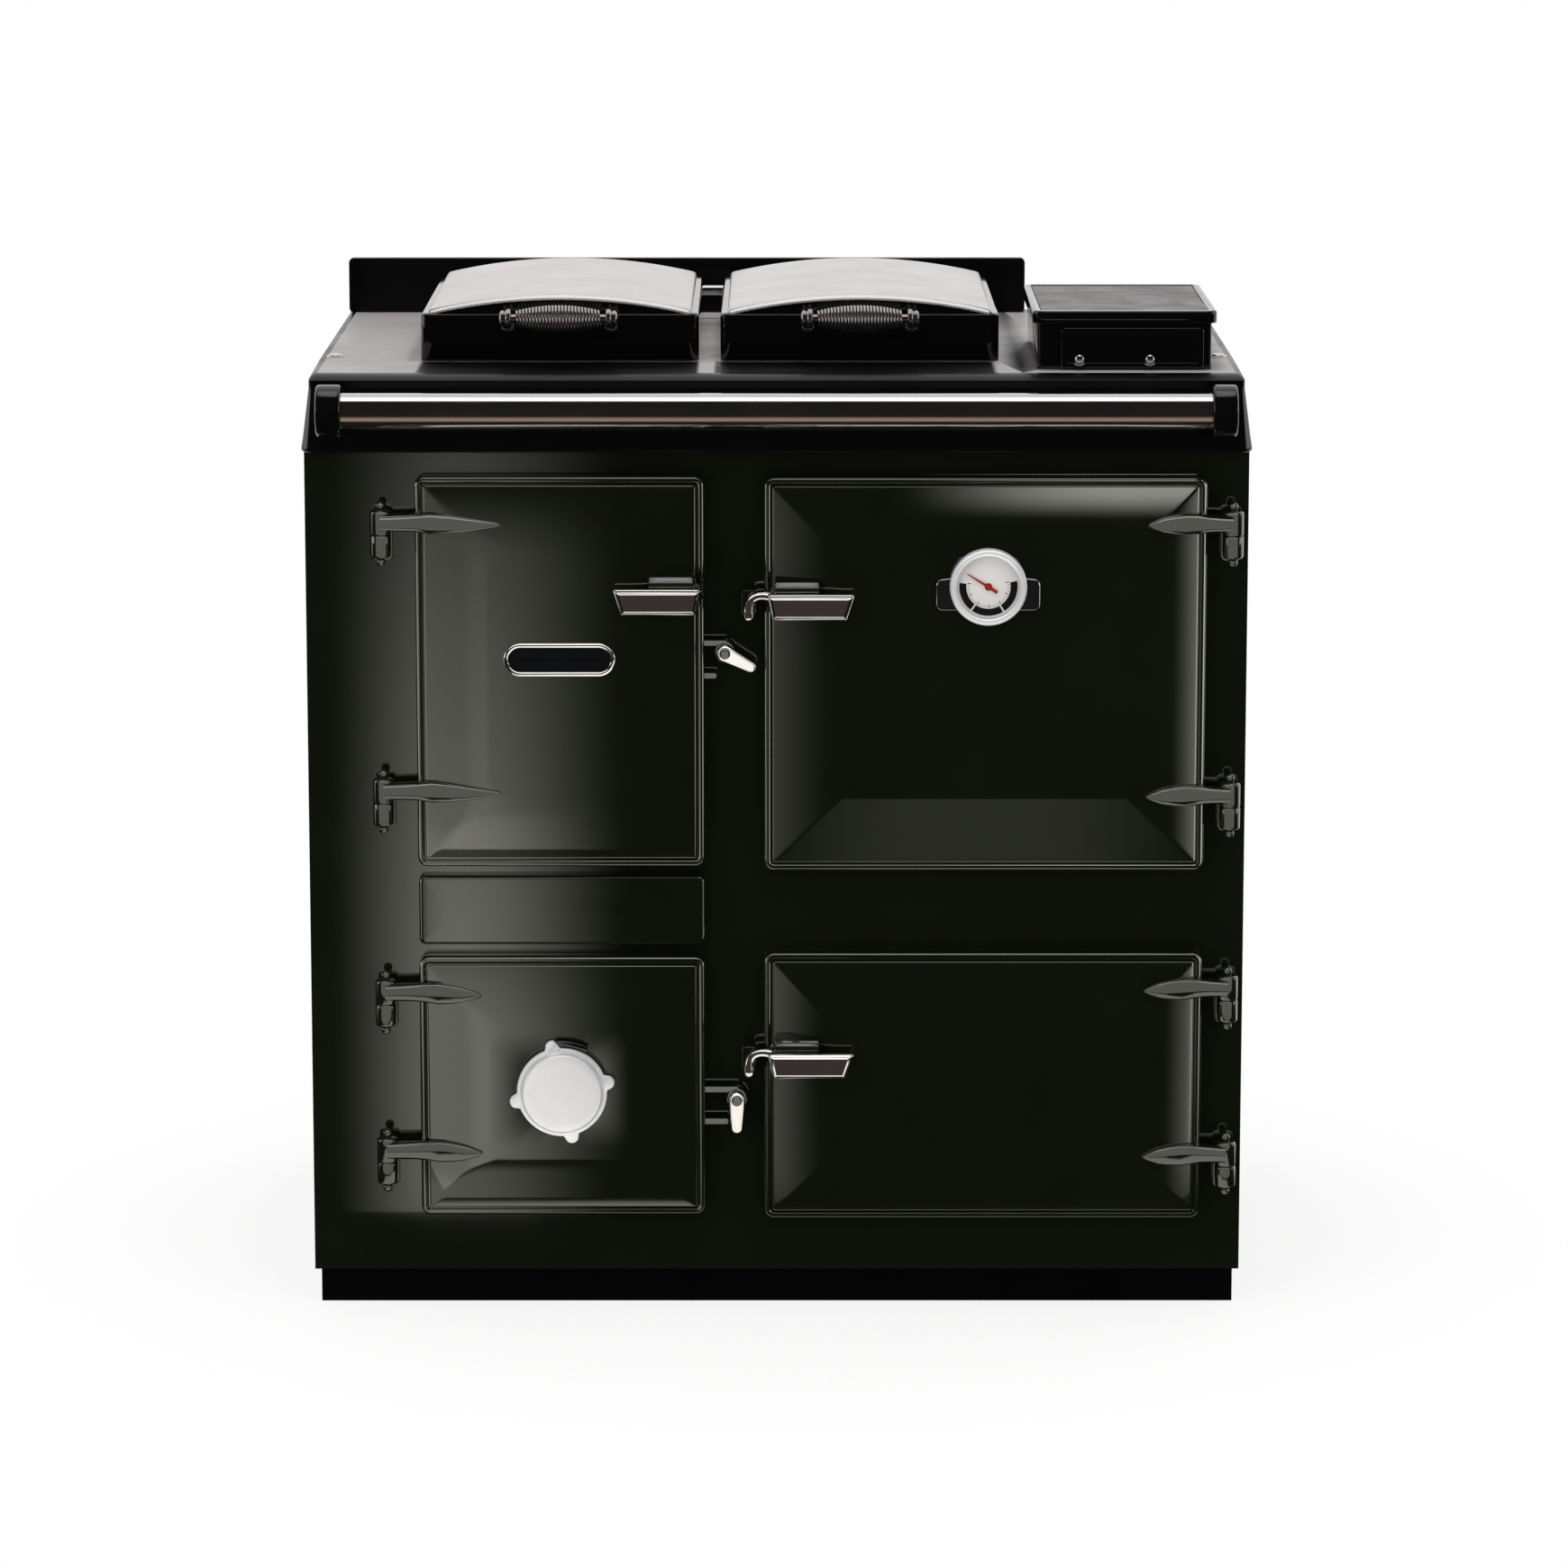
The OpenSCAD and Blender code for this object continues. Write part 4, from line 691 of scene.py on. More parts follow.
# The hob's ground top, in the same enamel: a soft grey bloom without reflections, with painted shade before
# the lids
HOB = HobEnamel(
    "Satin hob enamel", "black_enamel", "#8A8585", 0.42, "#7D7979", peel=0.03, wave=0.0, gloss=0.1
)
# White enamel, fired on the thermometer's dial: plain and bright
DIAL = Enamel("White dial enamel", "dial_enamel", "#FAF9F6", 0.22, "#F4F2EE", peel=0.003, wave=0.0)
# Black print on the dial: matt
INK = Enamel("Black dial print", "dial_enamel", "#141414", 0.4, "#1B1B1B", peel=0.003, wave=0.0)
# Red paint, sprayed on the thermometer's needle: the one bright colour
RED = Enamel("Red needle paint", "red_paint", "#B5201A", 0.3, "#A81B16", peel=0.003, wave=0.0)
# Black enamel of the name plate's blank field: a glossy dark oval
PLATE = Enamel(
    "Black plate enamel", "black_enamel", "#0B0C0E", 0.12, "#101114", coat=0.6, peel=0.004, wave=0.0
)
# Stainless sheet of the lid covers, brushed from left to right: fine lines in a broad sheen
STEEL = Metal(
    "Brushed stainless steel", "polished_steel", "#C2BDBB", 0.24, "#B9B4B2", (6.0, 700.0, 700.0), 0.0012
)
# Aluminium of the air wheel and the thermometer's bezel, rubbed matt all over: a pale, even grey
SATIN = Metal(
    "Satin aluminium", "polished_steel", "#DEDDE0", 0.45, "#D2D1D4", (90.0,) * 3, 0.002, metallic=0.5
)
# Polished plating of levers, latches and nuts: sharp reflections, dark and white
CHROME = Metal("Chrome plating", "chrome", "#D2CECC", 0.08, "#BDB8B6", (60.0,) * 3, 0.0004)
# Darkened nickel of the lid handles' coils, collars and posts: softer and greyer than chrome
NICKEL = Metal("Darkened nickel plating", "chrome", "#B3ACAA", 0.24, "#8F8886", (60.0,) * 3)
# Steel tube of the towel rail, ground round its length and polished: long straight lines of light
TUBE = Metal("Polished steel tube", "chrome", "#CFCBC8", 0.12, "#BFBAB6", (500.0, 12.0, 12.0))
# Burnished iron plate let into the flue's cover: a flat dark grey with a low sheen
PLATE_IRON = Metal("Burnished iron plate", "cast_iron", "#6A6564", 0.42, "#605B5A", (40.0,) * 3, 0.002)
# Ground top of the cast iron hotplate: a pale grey that scatters light
GROUND = Metal("Ground iron", "cast_iron", "#A39E9B", 0.5, "#8D8885", (80.0,) * 3, 0.002, metallic=0.6)
# Rolled sheet steel of the casing's back, the ash pan and the doors' liners: grey, with an uneven sheen
SHEET = Metal("Grey sheet steel", "sheet_steel", "#8A8785", 0.38, "#6F6C6A", (40.0,) * 3, 0.002)
# Sand-cast iron of the firebox, grate and ovens: dark and grainy
IRON = Casting("Bare cast iron", "cast_iron", "#34322F", 0.55, "#45413C", metallic=0.6)
# Fired clay of the bricks in the firebox: dry, pitted and buff
BRICK = Casting("Firebrick", "firebrick", "#B59A78", 0.9, "#9C8465", grains=260.0, depth=0.6)
# Braided glass rope in the doors' seals: rough and pale grey
ROPE = Casting("Braided seal rope", "rope", "#9A958B", 0.95, "#6D685F", grains=300.0, depth=0.8)
# Clear window over the dial, rolled flat: seen only by its faint reflections
GLASS = Glass("Clear window glass", "glass", "#0C0C0C", 0.0, "#0C0C0C")


class Kept(Enum):
    """CAD nodes whose own shape shows, by the finish that each gets."""

    GREEN = (GREEN, "front_plate side_panels")
    DULL = (DULL, "plinth")
    IRON = (IRON, "firebox grate spinwheel_spindle main_oven lower_oven")
    SHEET = (
        SHEET,
        "back_panel flue_spigot ash_pan fire_door_liner ash_door_liner main_oven_liner lower_oven_liner",
    )
    STEEL = (STEEL, "left_lid_liner right_lid_liner")
    GROUND = (GROUND, "hotplate")
    CHROME = (CHROME, "oven_shelves spinwheel_washer lid_hinges")
    GLASS = (GLASS, "thermometer_glass")
    BRICK = (BRICK, "firebricks")
    ROPE = (ROPE, "door_ropes")

    @classmethod
    def dress(cls, objects: dict[str, bpy.types.Object]) -> None:
        """Gives each kept node its finish.

        Args:
            objects: the CAD nodes' objects, by name.
        """
        for group in cls:
            finish, nodes = group.value
            for name in nodes.split():
                for slot in objects[name].material_slots:
                    slot.material = finish.material()
                LOG.info("%s: kept, %s", name, finish.name)


# ---------- doors ----------


@dataclass
class Door:
    """A cast door: a bead round its rim, a groove, a broad bevel and a flat field, hollow behind.

    Attributes:
        name: the door's node and body.
        straps: node of its straps, in which the mounts of its lever and latch lie too.
        swell: slope of the bevel at its foot over its mean slope. 1 is flat, and 2 runs out in the field.
        field_corner: corner radius of the field.
        port: middle (x, z) and radius of an air port through the door.
        bevel: insets at which the bevel starts and ends.
        rise: how far the field stands before the rim.
        corner: corner radius of the door.
        recess: width of the rim behind, round the hollow.
        bead: inset and depth of the bead's section.
    """

    name: str
    straps: str
    swell: float
    field_corner: float
    port: Place | None = None
    bevel: Pair = (8.6, 70.0)
    rise: float = 15.0
    corner: float = 9.0
    recess: float = 35.0
    bead: Rows = (
        *((0.0, 2.7), (0.35, 1.95), (1.2, 1.05), (2.2, 0.4), (3.1, 0.02)),
        *((3.6, 0.02), (4.5, 0.4), (5.5, 1.05), (6.3, 1.9), (6.7, 2.5)),
    )

    def __post_init__(self) -> None:
        """Reads the door's depths from the frame."""
        self.box = Span.of(self.name)
        self.field_y, self.back_y = self.box.low[1], self.box.high[1]
        self.rim_y = self.field_y + self.rise

    def bevel_y(self, inset: Points) -> Points:
        """Depth of the bevel at distances from the edge: a share s of its width rises a*s - (a-1)*s^2."""
        share = np.clip((inset - self.bevel[0]) / (self.bevel[1] - self.bevel[0]), 0.0, 1.0)
        return self.rim_y - self.rise * (self.swell * share - (self.swell - 1.0) * share**2)

    def rows(self) -> list[Place]:
        """Profile of the door, from the recess behind to the field in front.

        Returns:
            Inset, depth and corner radius of each ring.
        """
        back, rim, (start, end) = self.back_y, self.rim_y, self.bevel
        rows = [(self.recess, rim + 9, 6.0), (self.recess, back, 6.0), (1.2, back, self.corner - 1)]
        rows += [(0.35, back - 0.35, self.corner), (0.0, back - 1.2, self.corner)]
        rows += [(inset, rim + depth, max(self.corner - inset, 2.2)) for inset, depth in self.bead]
        rows += [(inset, rim + depth, 2.0) for inset, depth in ((7.3, 2.6), (7.9, 2.4), (8.3, 0.6))]
        shares = chain([0.0, 0.015, 0.06], np.linspace(0.14, 0.84, 8), [0.92, 0.97, 0.99, 1.0])
        insets = start + shares * (end - start)
        rows += zip(insets, self.bevel_y(insets), 2.0 + shares**2 * (self.field_corner - 2.0))
        return [*rows, (end + 0.7, self.field_y, self.field_corner)]

    def build(self) -> None:
        """Makes the door's one closed surface, with its port if it has one."""
        rings = [(self.box.ring(Axis.Y, inset, radius, PLATE_CUTS), y) for inset, y, radius in self.rows()]
        if self.port is not None:
            x, z, radius = self.port
            away = normalised(rings[-1][0] - (x, z))
            edge = rounded_edge(self.field_y, 1.0, ((1.5, 0.0), (0.4, 0.4), (0.0, 1.5)))
            rings += [((radius + grow) * away + (x, z), y) for grow, y in (*edge, (0.0, self.rim_y + 9))]
        shell = Shell().layers(Axis.Y, rings, closed=self.port is not None)
        make_piece(f"{self.name}_casting", shell, GREEN, self.name, self.name)


@dataclass
class Hinges:
    """The two strap hinges of a door: leaf-shaped straps with ball-ended knuckles, over lugs on the plate.

    Attributes:
        door: the door that they carry.
        pin_x: X of the pins.
        length: reach of the straps from the pin.
        drop: distance of the upper strap from the door's top.
        lift: distance of the lower strap from the door's foot.
        pin_y: Y of the pins.
        half: half the height of a knuckle.
        gap: gap between knuckle and lug.
        lug: height of a lug.
        radius: radius of the barrels.
        ball: radius of the balls at their ends.
    """

    door: Door
    pin_x: float
    length: float
    drop: float
    lift: float
    pin_y: float = -320.0
    half: float = 12.0
    gap: float = 0.3
    lug: float = 22.0
    radius: float = 10.0
    ball: float = 4.6

    def __post_init__(self) -> None:
        """Finds the heights of both hinges, and which way the straps run."""
        box = self.door.box
        self.heights = (box.high[2] - self.drop, box.low[2] + self.lift)
        self.side = 1.0 if self.pin_x < box.middle(Axis.X) else -1.0
        self.rim = abs((box.low[0] if self.side > 0 else box.high[0]) - self.pin_x)

    def turned_end(self, z: float, way: float, length: float) -> Points:
        """Profile of a knuckle or lug from its flat end: a barrel, a rounded shoulder, a neck and a ball.

        Args:
            z: height of the flat end.
            way: 1 for a ball that stands up, and -1 for one that hangs.
            length: length of the barrel.

        Returns:
            Points (n, 2) of radius and height.
        """
        profile = chain(
            [(0.0, 0.0), (self.radius - 1.2, 0.0), (self.radius - 0.3, 0.4), (self.radius, 1.3)],
            arc((self.radius - 3.0, length - 3.0), 3.0, 0, 80, 5),
            arc((0.0, length + self.ball - 0.6), self.ball, -48, 90, 10),
        )
        return profile * (1.0, way) + (0.0, z)

    def strap(self, shell: Shell, z: float) -> None:
        """Adds one strap with its knuckle: a bar that follows the bevel, swells and ends in a leaf's point.

        Half its height runs straight between five stations, times the root of what is left of the last 3 mm.

        Args:
            shell: the shell that takes it.
            z: height of its middle.
        """
        door, rim, length = self.door, self.rim, self.length
        reach = np.array([0, 6, 12, 20, 30, 42, 56, 70, 82, 92, 97, 99.4, 100]) / 100.0 * length
        half = np.interp(reach, [0.0, rim, rim + 18, rim + 40, length], [8.5, 9.0, 11.0, 8.4, 1.9])
        half *= np.sqrt(np.clip((length - reach) / 3.0, 0.04, 1.0))
        bevel = door.bevel_y(reach - rim)
        back = np.where(reach < rim + 4, self.pin_y + 5.0, bevel + 1.5)
        proud = np.interp(reach, [0.0, rim, rim + 45, length], [14.0, 11.0, 9.0, 5.0])
        surface = np.where(reach < rim + 4, door.rim_y, bevel)
        front = np.minimum(surface - proud + 2.0, self.pin_y - 8.5)
        path = np.stack([self.pin_x + self.side * reach, (front + back) / 2, np.full_like(reach, z)], -1)
        shell.tube(path, np.stack([half, (back - front) / 2], -1), (0.0, 0.0, 1.0), power=2.6)
        knuckle = self.turned_end(z - self.half, 1.0, 2 * self.half)
        shell.lathe(Axis.Z, (self.pin_x, self.pin_y), knuckle, 40)

    def add_lugs(self, shell: Shell) -> None:
        """Adds the lugs below both straps, each with the block that joins it to the front plate.

        Args:
            shell: the shell that takes them.
        """
        x = self.pin_x
        for z in self.heights:
            top = z - self.half - self.gap
            foot = top - self.lug
            shell.lathe(Axis.Z, (x, self.pin_y), self.turned_end(top, -1.0, self.lug), 40)
            block = rounded_rectangle((x - 7, x + 7), (self.pin_y, -300.0), 1.0)
            shell.layers(Axis.Z, ((block, foot + 1.5), (block, top - 0.2)))
            pad = rounded_rectangle((x - 11, x + 11), (foot - 5, top + 4), 5.0)
            edge = ((0.0, 0.0), (0.0, 1.7), (0.5, 2.5), (1.4, 2.9))
            shell.moulding(Axis.Y, pad, rounded_edge(PLATE_Y, -1.0, edge))

    def build(self) -> None:
        """Makes both straps' piece."""
        shell = Shell()
        for z in self.heights:
            self.strap(shell, z)
        make_piece(f"{self.door.straps}_leaves", shell, GREEN, self.door.straps, self.door.name)


@dataclass
class Lever:
    """A plated lever: a slanted grip with flat chamfers on a hub, with an arched tail on the oven doors.

    Attributes:
        node: the lever's node and body.
        door: the door that carries it.
        pivot: the stud's place (x, z).
        side: 1 where the grip points to the right, and -1 to the left.
        tailed: it has a tail.
        length: length of the grip.
        height: height of the grip.
        slant: how far the grip's lower corner lies behind its upper one.
        hub: radius of the hub.
        boss_y: Y where the hub meets the boss.
        tail: reach from the pivot, height over it and radius along the tail.
    """

    node: str
    door: Door
    pivot: Pair
    side: float
    tailed: bool = True
    length: float = 84.0
    height: float = 25.0
    slant: float = 8.0
    hub: float = 8.0
    boss_y: float = -328.3
    tail: tuple[Place, ...] = (
        *((2, 3.0, 5.2), (9, 6.2, 4.6), (17, 7.4, 4.3), (24, 6.0, 4.3), (28.5, 1.5, 4.4)),
        *((30, -5.0, 4.8), (30, -11.0, 5.3), (30, -14.6, 4.6), (30, -16.9, 2.4), (30, -17.4, 0.3)),
    )

    def __post_init__(self) -> None:
        """Reads the grip's depths from its node."""
        self.front_y = Span.of(self.node).low[1]
        self.grip_back = self.front_y + 15.0

    def grip_outline(self) -> Points:
        """Sharp corners of the grip seen from the front, anticlockwise.

        Returns:
            Points (4, 2).
        """
        (x, z), half, slant = self.pivot, self.height / 2, self.slant
        near, far = -12.0, self.length - 12.0
        corners = [(near, half), (near + slant * 0.6, -half), (far - slant, -half), (far, half)]
        if self.side < 0:
            corners.reverse()
        return np.array([(x + self.side * along, z + rise) for along, rise in corners])

    def lever(self) -> Shell:
        """Grip, hub and tail in one piece.

        Returns:
            The lever's shell.
        """
        outline, back, boss = self.grip_outline(), self.grip_back, self.boss_y
        chamfer = ((5.6, 0.0), (4.7, 0.0), (4.3, 0.1), (3.8, 0.5), (0.5, 3.8), (0.0, 4.8))
        rows = rounded_edge(self.front_y, 1.0, chamfer) + [(0.0, back - 1.2), (0.4, back - 0.4), (1.2, back)]
        sections = (rounded_corners(inset_polygon(outline, inset), 1.6 - 0.2 * inset) for inset, _ in rows)
        shell = Shell().layers(Axis.Y, zip(sections, (depth for _, depth in rows)))
        hub = chain(
            [(0.0, back - 1), (self.hub + 2.2, back - 1)],
            arc((self.hub, back + 1.5), 2.0, 0, 60, 3),
            [(self.hub - 0.2, back + 6), (self.hub, boss - 1.0), (self.hub - 0.8, boss), (0.0, boss)],
        )
        shell.lathe(Axis.Y, self.pivot, hub, 40)
        if self.tailed:
            curve = spline(self.tail)
            path = Axis.Y.place(np.array(self.pivot) + (-self.side, 1.0) * curve[:, :2], boss - 4.5)
            shell.tube(path, np.maximum(curve[:, 2:], 0.2) * np.ones(2), (0.0, 1.0, 0.0))
        return shell

    def mounting(self) -> Shell:
        """Boss behind the hub with the stud through it, in the door's enamel.

        Returns:
            The boss's shell.
        """
        boss, front = self.boss_y, self.front_y + 5.2
        rows = [(0.0, boss + 0.3), (9.6, boss + 0.3), (10.7, boss + 0.9), (11.0, boss + 2.4)]
        rows += [(12.5, -322.5), (14.5, -321.0)]
        stud = [(0.0, front), (4.0, front), (4.0, boss + 2), (0.0, boss + 2)]
        return Shell().lathe(Axis.Y, self.pivot, rows, 40).lathe(Axis.Y, self.pivot, stud, 24)

    def rest_block(self) -> Shell:
        """Block above the grip: its front stands over the grip and its top slopes up to the door.

        Returns:
            The block's shell.
        """
        x, z = self.pivot[0], self.pivot[1] + self.height / 2 - 2
        low, high = sorted((x - self.side * 5.0, x + self.side * 38.0))
        section = [(-349.4, 0.0), (-320.0, 0.0), (-320.0, 15.5), (-344.0, 11.5), (-349.4, 7.0)]
        rows = both_edges(low, high, ((1.6, 0.0), (0.45, 0.5), (0.0, 1.8)))
        return Shell().moulding(Axis.X, rounded_corners(np.array(section) + (0.0, z), 2.2), rows)

    def build(self) -> None:
        """Makes the lever, its mount and the block above it."""
        make_piece(f"{self.node}_lever", self.lever(), CHROME, self.node, self.node, smooth=32.0)
        for name, shell in (("mount", self.mounting()), ("rest", self.rest_block())):
            make_piece(f"{self.node}_{name}", shell, GREEN, self.door.straps, self.door.name, smooth=40.0)


@dataclass
class SideLatch:
    """A drop latch beside a left door: two arms on the door's edge, and a pear-shaped drop on a stud.

    Attributes:
        node: the latch's node and body.
        door: the door that carries it.
        stud: the stud's place (x, z).
        turn: angle of the drop from straight down, towards the right, in degrees.
        arm_y: front and back of the arms.
        latch_y: front and back of the drop.
        eye: radius of the drop's eye.
        end: radius of its smaller end.
        length: distance between their middles.
    """

    node: str
    door: Door
    stud: Pair
    turn: float
    arm_y: Pair = (-317.0, -312.0)
    latch_y: Pair = (-327.3, -317.3)
    eye: float = 8.6
    end: float = 6.0
    length: float = 28.0

    def drop(self) -> Shell:
        """The pear outline round an eye and a smaller end, turned about the stud and swelling to its front.

        Returns:
            The drop's shell.
        """
        lean = math.degrees(math.asin((self.eye - self.end) / self.length))
        eye = arc((0.0, 0.0), self.eye, -lean, 180 + lean, 20)
        end = arc((0.0, -self.length), self.end, 180 + lean, 360 - lean, 14)
        along, across = unit(math.radians(self.turn)), unit(math.radians(self.turn + 90.0))
        front, back = self.latch_y
        rows = rounded_edge(front, 1.0, ((3.6, 0.0), (2.2, 0.4), (0.9, 1.4), (0.2, 3.0), (0.0, 5.0)))
        rows += [(0.3, back - 1.2), (1.4, back)]
        return Shell().moulding(Axis.Y, chain(eye, end) @ np.stack([along, across]) + self.stud, rows)

    def fork(self) -> Shell:
        """Both arms, the boss that joins the upper one to the stud, and the stud with its domed head.

        Returns:
            The fork's shell.
        """
        (x, z), (front, back), head_y = self.stud, self.arm_y, self.latch_y[0] - 0.6
        edge = self.door.box.high[0]
        shell = Shell()
        for low, reach in ((z + 6.0, x + 2.0), (z - 26.0, x - 8.0)):
            outline = rounded_rectangle((edge - 5.0, reach), (low, low + 6.0), 2.4)
            rows = rounded_edge(front, 1.0, ((1.2, 0.0), (0.3, 0.35), (0.0, 1.3)))
            shell.moulding(Axis.Y, outline, rows + [(0.0, back)])
        boss = [(0.0, back), (10.6, back), (10.6, front + 1.6)]
        boss += [(9.6, front + 0.3), (8.4, front), (0.0, front)]
        head = [(0.0, front + 1), (3.9, front + 1), (3.9, head_y), (5.4, head_y)]
        dome = arc((0.0, head_y), (5.4, 2.43), 0, -90, 8)
        return shell.lathe(Axis.Y, self.stud, boss, 36).lathe(Axis.Y, self.stud, chain(head, dome), 28)

    def build(self) -> None:
        """Makes the drop and its fork."""
        make_piece(f"{self.node}_drop", self.drop(), CHROME, self.node, self.node, smooth=45.0)
        make_piece(f"{self.node}_fork", self.fork(), GREEN, self.door.straps, self.door.name, smooth=45.0)


@dataclass
class NamePlate:
    """The blank plate of the fire door: an oval bead of bright metal round a dark enamelled field."""

    node: str = "name_plate"
    body: str = "fire_door"
    bead: float = 2.6

    def build(self) -> None:
        """Makes the bead and the field."""
        box = Span.of(self.node)
        outline = box.ring(Axis.Y, 0.0, box.half(Axis.Z) - 0.02, 8, 16)
        y = box.high[1]
        section = arc((self.bead, y - 1.4), self.bead, 180, 360, 10)
        profile = chain([(0.0, y + 0.4)], section, [(2 * self.bead, y + 0.4)])
        rim = Shell().moulding(Axis.Y, outline, profile, closed=True)
        make_piece("name_plate_bead", rim, CHROME, self.node, self.body, smooth=60.0)
        rows = rounded_edge(y, -1.0, ((4.6, -0.2), (4.6, 1.3), (7.0, 1.7), (11.0, 1.9)))
        field = Shell().moulding(Axis.Y, outline, rows)
        make_piece("name_plate_field", field, PLATE, self.node, self.body, smooth=60.0)


@dataclass
class SpinWheel:
    """The ash door's air wheel: a bright drum on a rim with four lugs, and painted shadow beside its top lug.

    Attributes:
        node: the wheel's node and body.
        rim: radius of the rim.
        lug: radius of a lug.
        lug_angles: where the lugs stand, in degrees.
    """

    node: str = "spinwheel"
    rim: float = 44.0
    lug: float = 7.0
    lug_angles: tuple[float, ...] = (12.0, 102.0, 192.0, 282.0)

    def __post_init__(self) -> None:
        """Reads the wheel's middle and depths from the frame."""
        port, box = Span.of("spinwheel_washer"), Span.of(self.node)
        self.centre = (port.middle(Axis.X), port.middle(Axis.Z))
        self.front, self.back = box.low[1], box.high[1]

    def spokes(self) -> Points:
        """The rim with its lugs, about the origin: at each angle the further of rim and lug, a circle on it.

        Returns:
            Points (288, 2).
        """
        turn = np.arange(288) * 2 * math.pi / 288
        reach = np.full_like(turn, self.rim)
        for angle in self.lug_angles:
            away = np.arctan2(np.sin(turn - math.radians(angle)), np.cos(turn - math.radians(angle)))
            inside = self.lug**2 - ((self.rim + 1) * np.sin(away)) ** 2
            bump = (self.rim + 1) * np.cos(away) + np.sqrt(np.clip(inside, 0.0, None))
            reach = np.where((inside > 0) & (np.abs(away) < 1.0), np.maximum(reach, bump), reach)
        soft = sum(np.roll(reach, k) for k in (-1, 0, 1)) / 3
        return soft[:, None] * unit(turn)

    def wheel(self) -> Shell:
        """Rim and drum. The rim's rings shrink towards its middle.

        Returns:
            The wheel's shell.
        """
        spokes, rim_y = self.spokes(), self.back - 7.0
        rows = rounded_edge(self.back, -1.0, ((2.0, 0.0), (0.6, 0.4), (0.0, 1.6)))
        rows += [(0.0, rim_y + 1.8), (0.5, rim_y + 0.6), (1.7, rim_y)]
        shell = Shell().layers(Axis.Y, ((self.centre + spokes * (1 - i / self.rim), y) for i, y in rows))
        drum = chain(
            [(0.0, rim_y + 0.5), (41.0, rim_y + 0.5), (40.4, rim_y - 1.0), (39.2, rim_y - 4.4)],
            arc((36.2, rim_y - 5.0), 2.6, -8, -78, 7),
            [(30.0, self.front + 0.5), (20.0, self.front + 0.15), (10.0, self.front), (0.0, self.front)],
        )
        return shell.lathe(Axis.Y, self.centre, drum, 96)

    def painted_shadow(self) -> Shell:
        """Black arched bar of painted shadow that hugs the rim from 60 to 100 degrees, thin at its ends.

        Returns:
            The bar's shell.
        """
        # Painted shadow: a black bar for the shade in the gap behind the top of the drum
        count = 13
        widths = 3.4 * np.sqrt(np.clip(np.sin(np.linspace(0.12, math.pi - 0.5, count)), 0, 1))
        around = unit(np.radians(np.linspace(60, 100, count)))
        path = Axis.Y.place(np.array(self.centre) + 48.2 * around, self.back - 4.0)
        return Shell().tube(path, np.stack([widths, np.full(count, 3.0)], -1), (0.0, 1.0, 0.0), power=3.0)

    def build(self) -> None:
        """Makes the wheel and its painted shadow."""
        make_piece("spinwheel_face", self.wheel(), SATIN, self.node, self.node, smooth=38.0)
        make_piece("spinwheel_brow", self.painted_shadow(), BLACK, self.node, self.node, smooth=40.0)


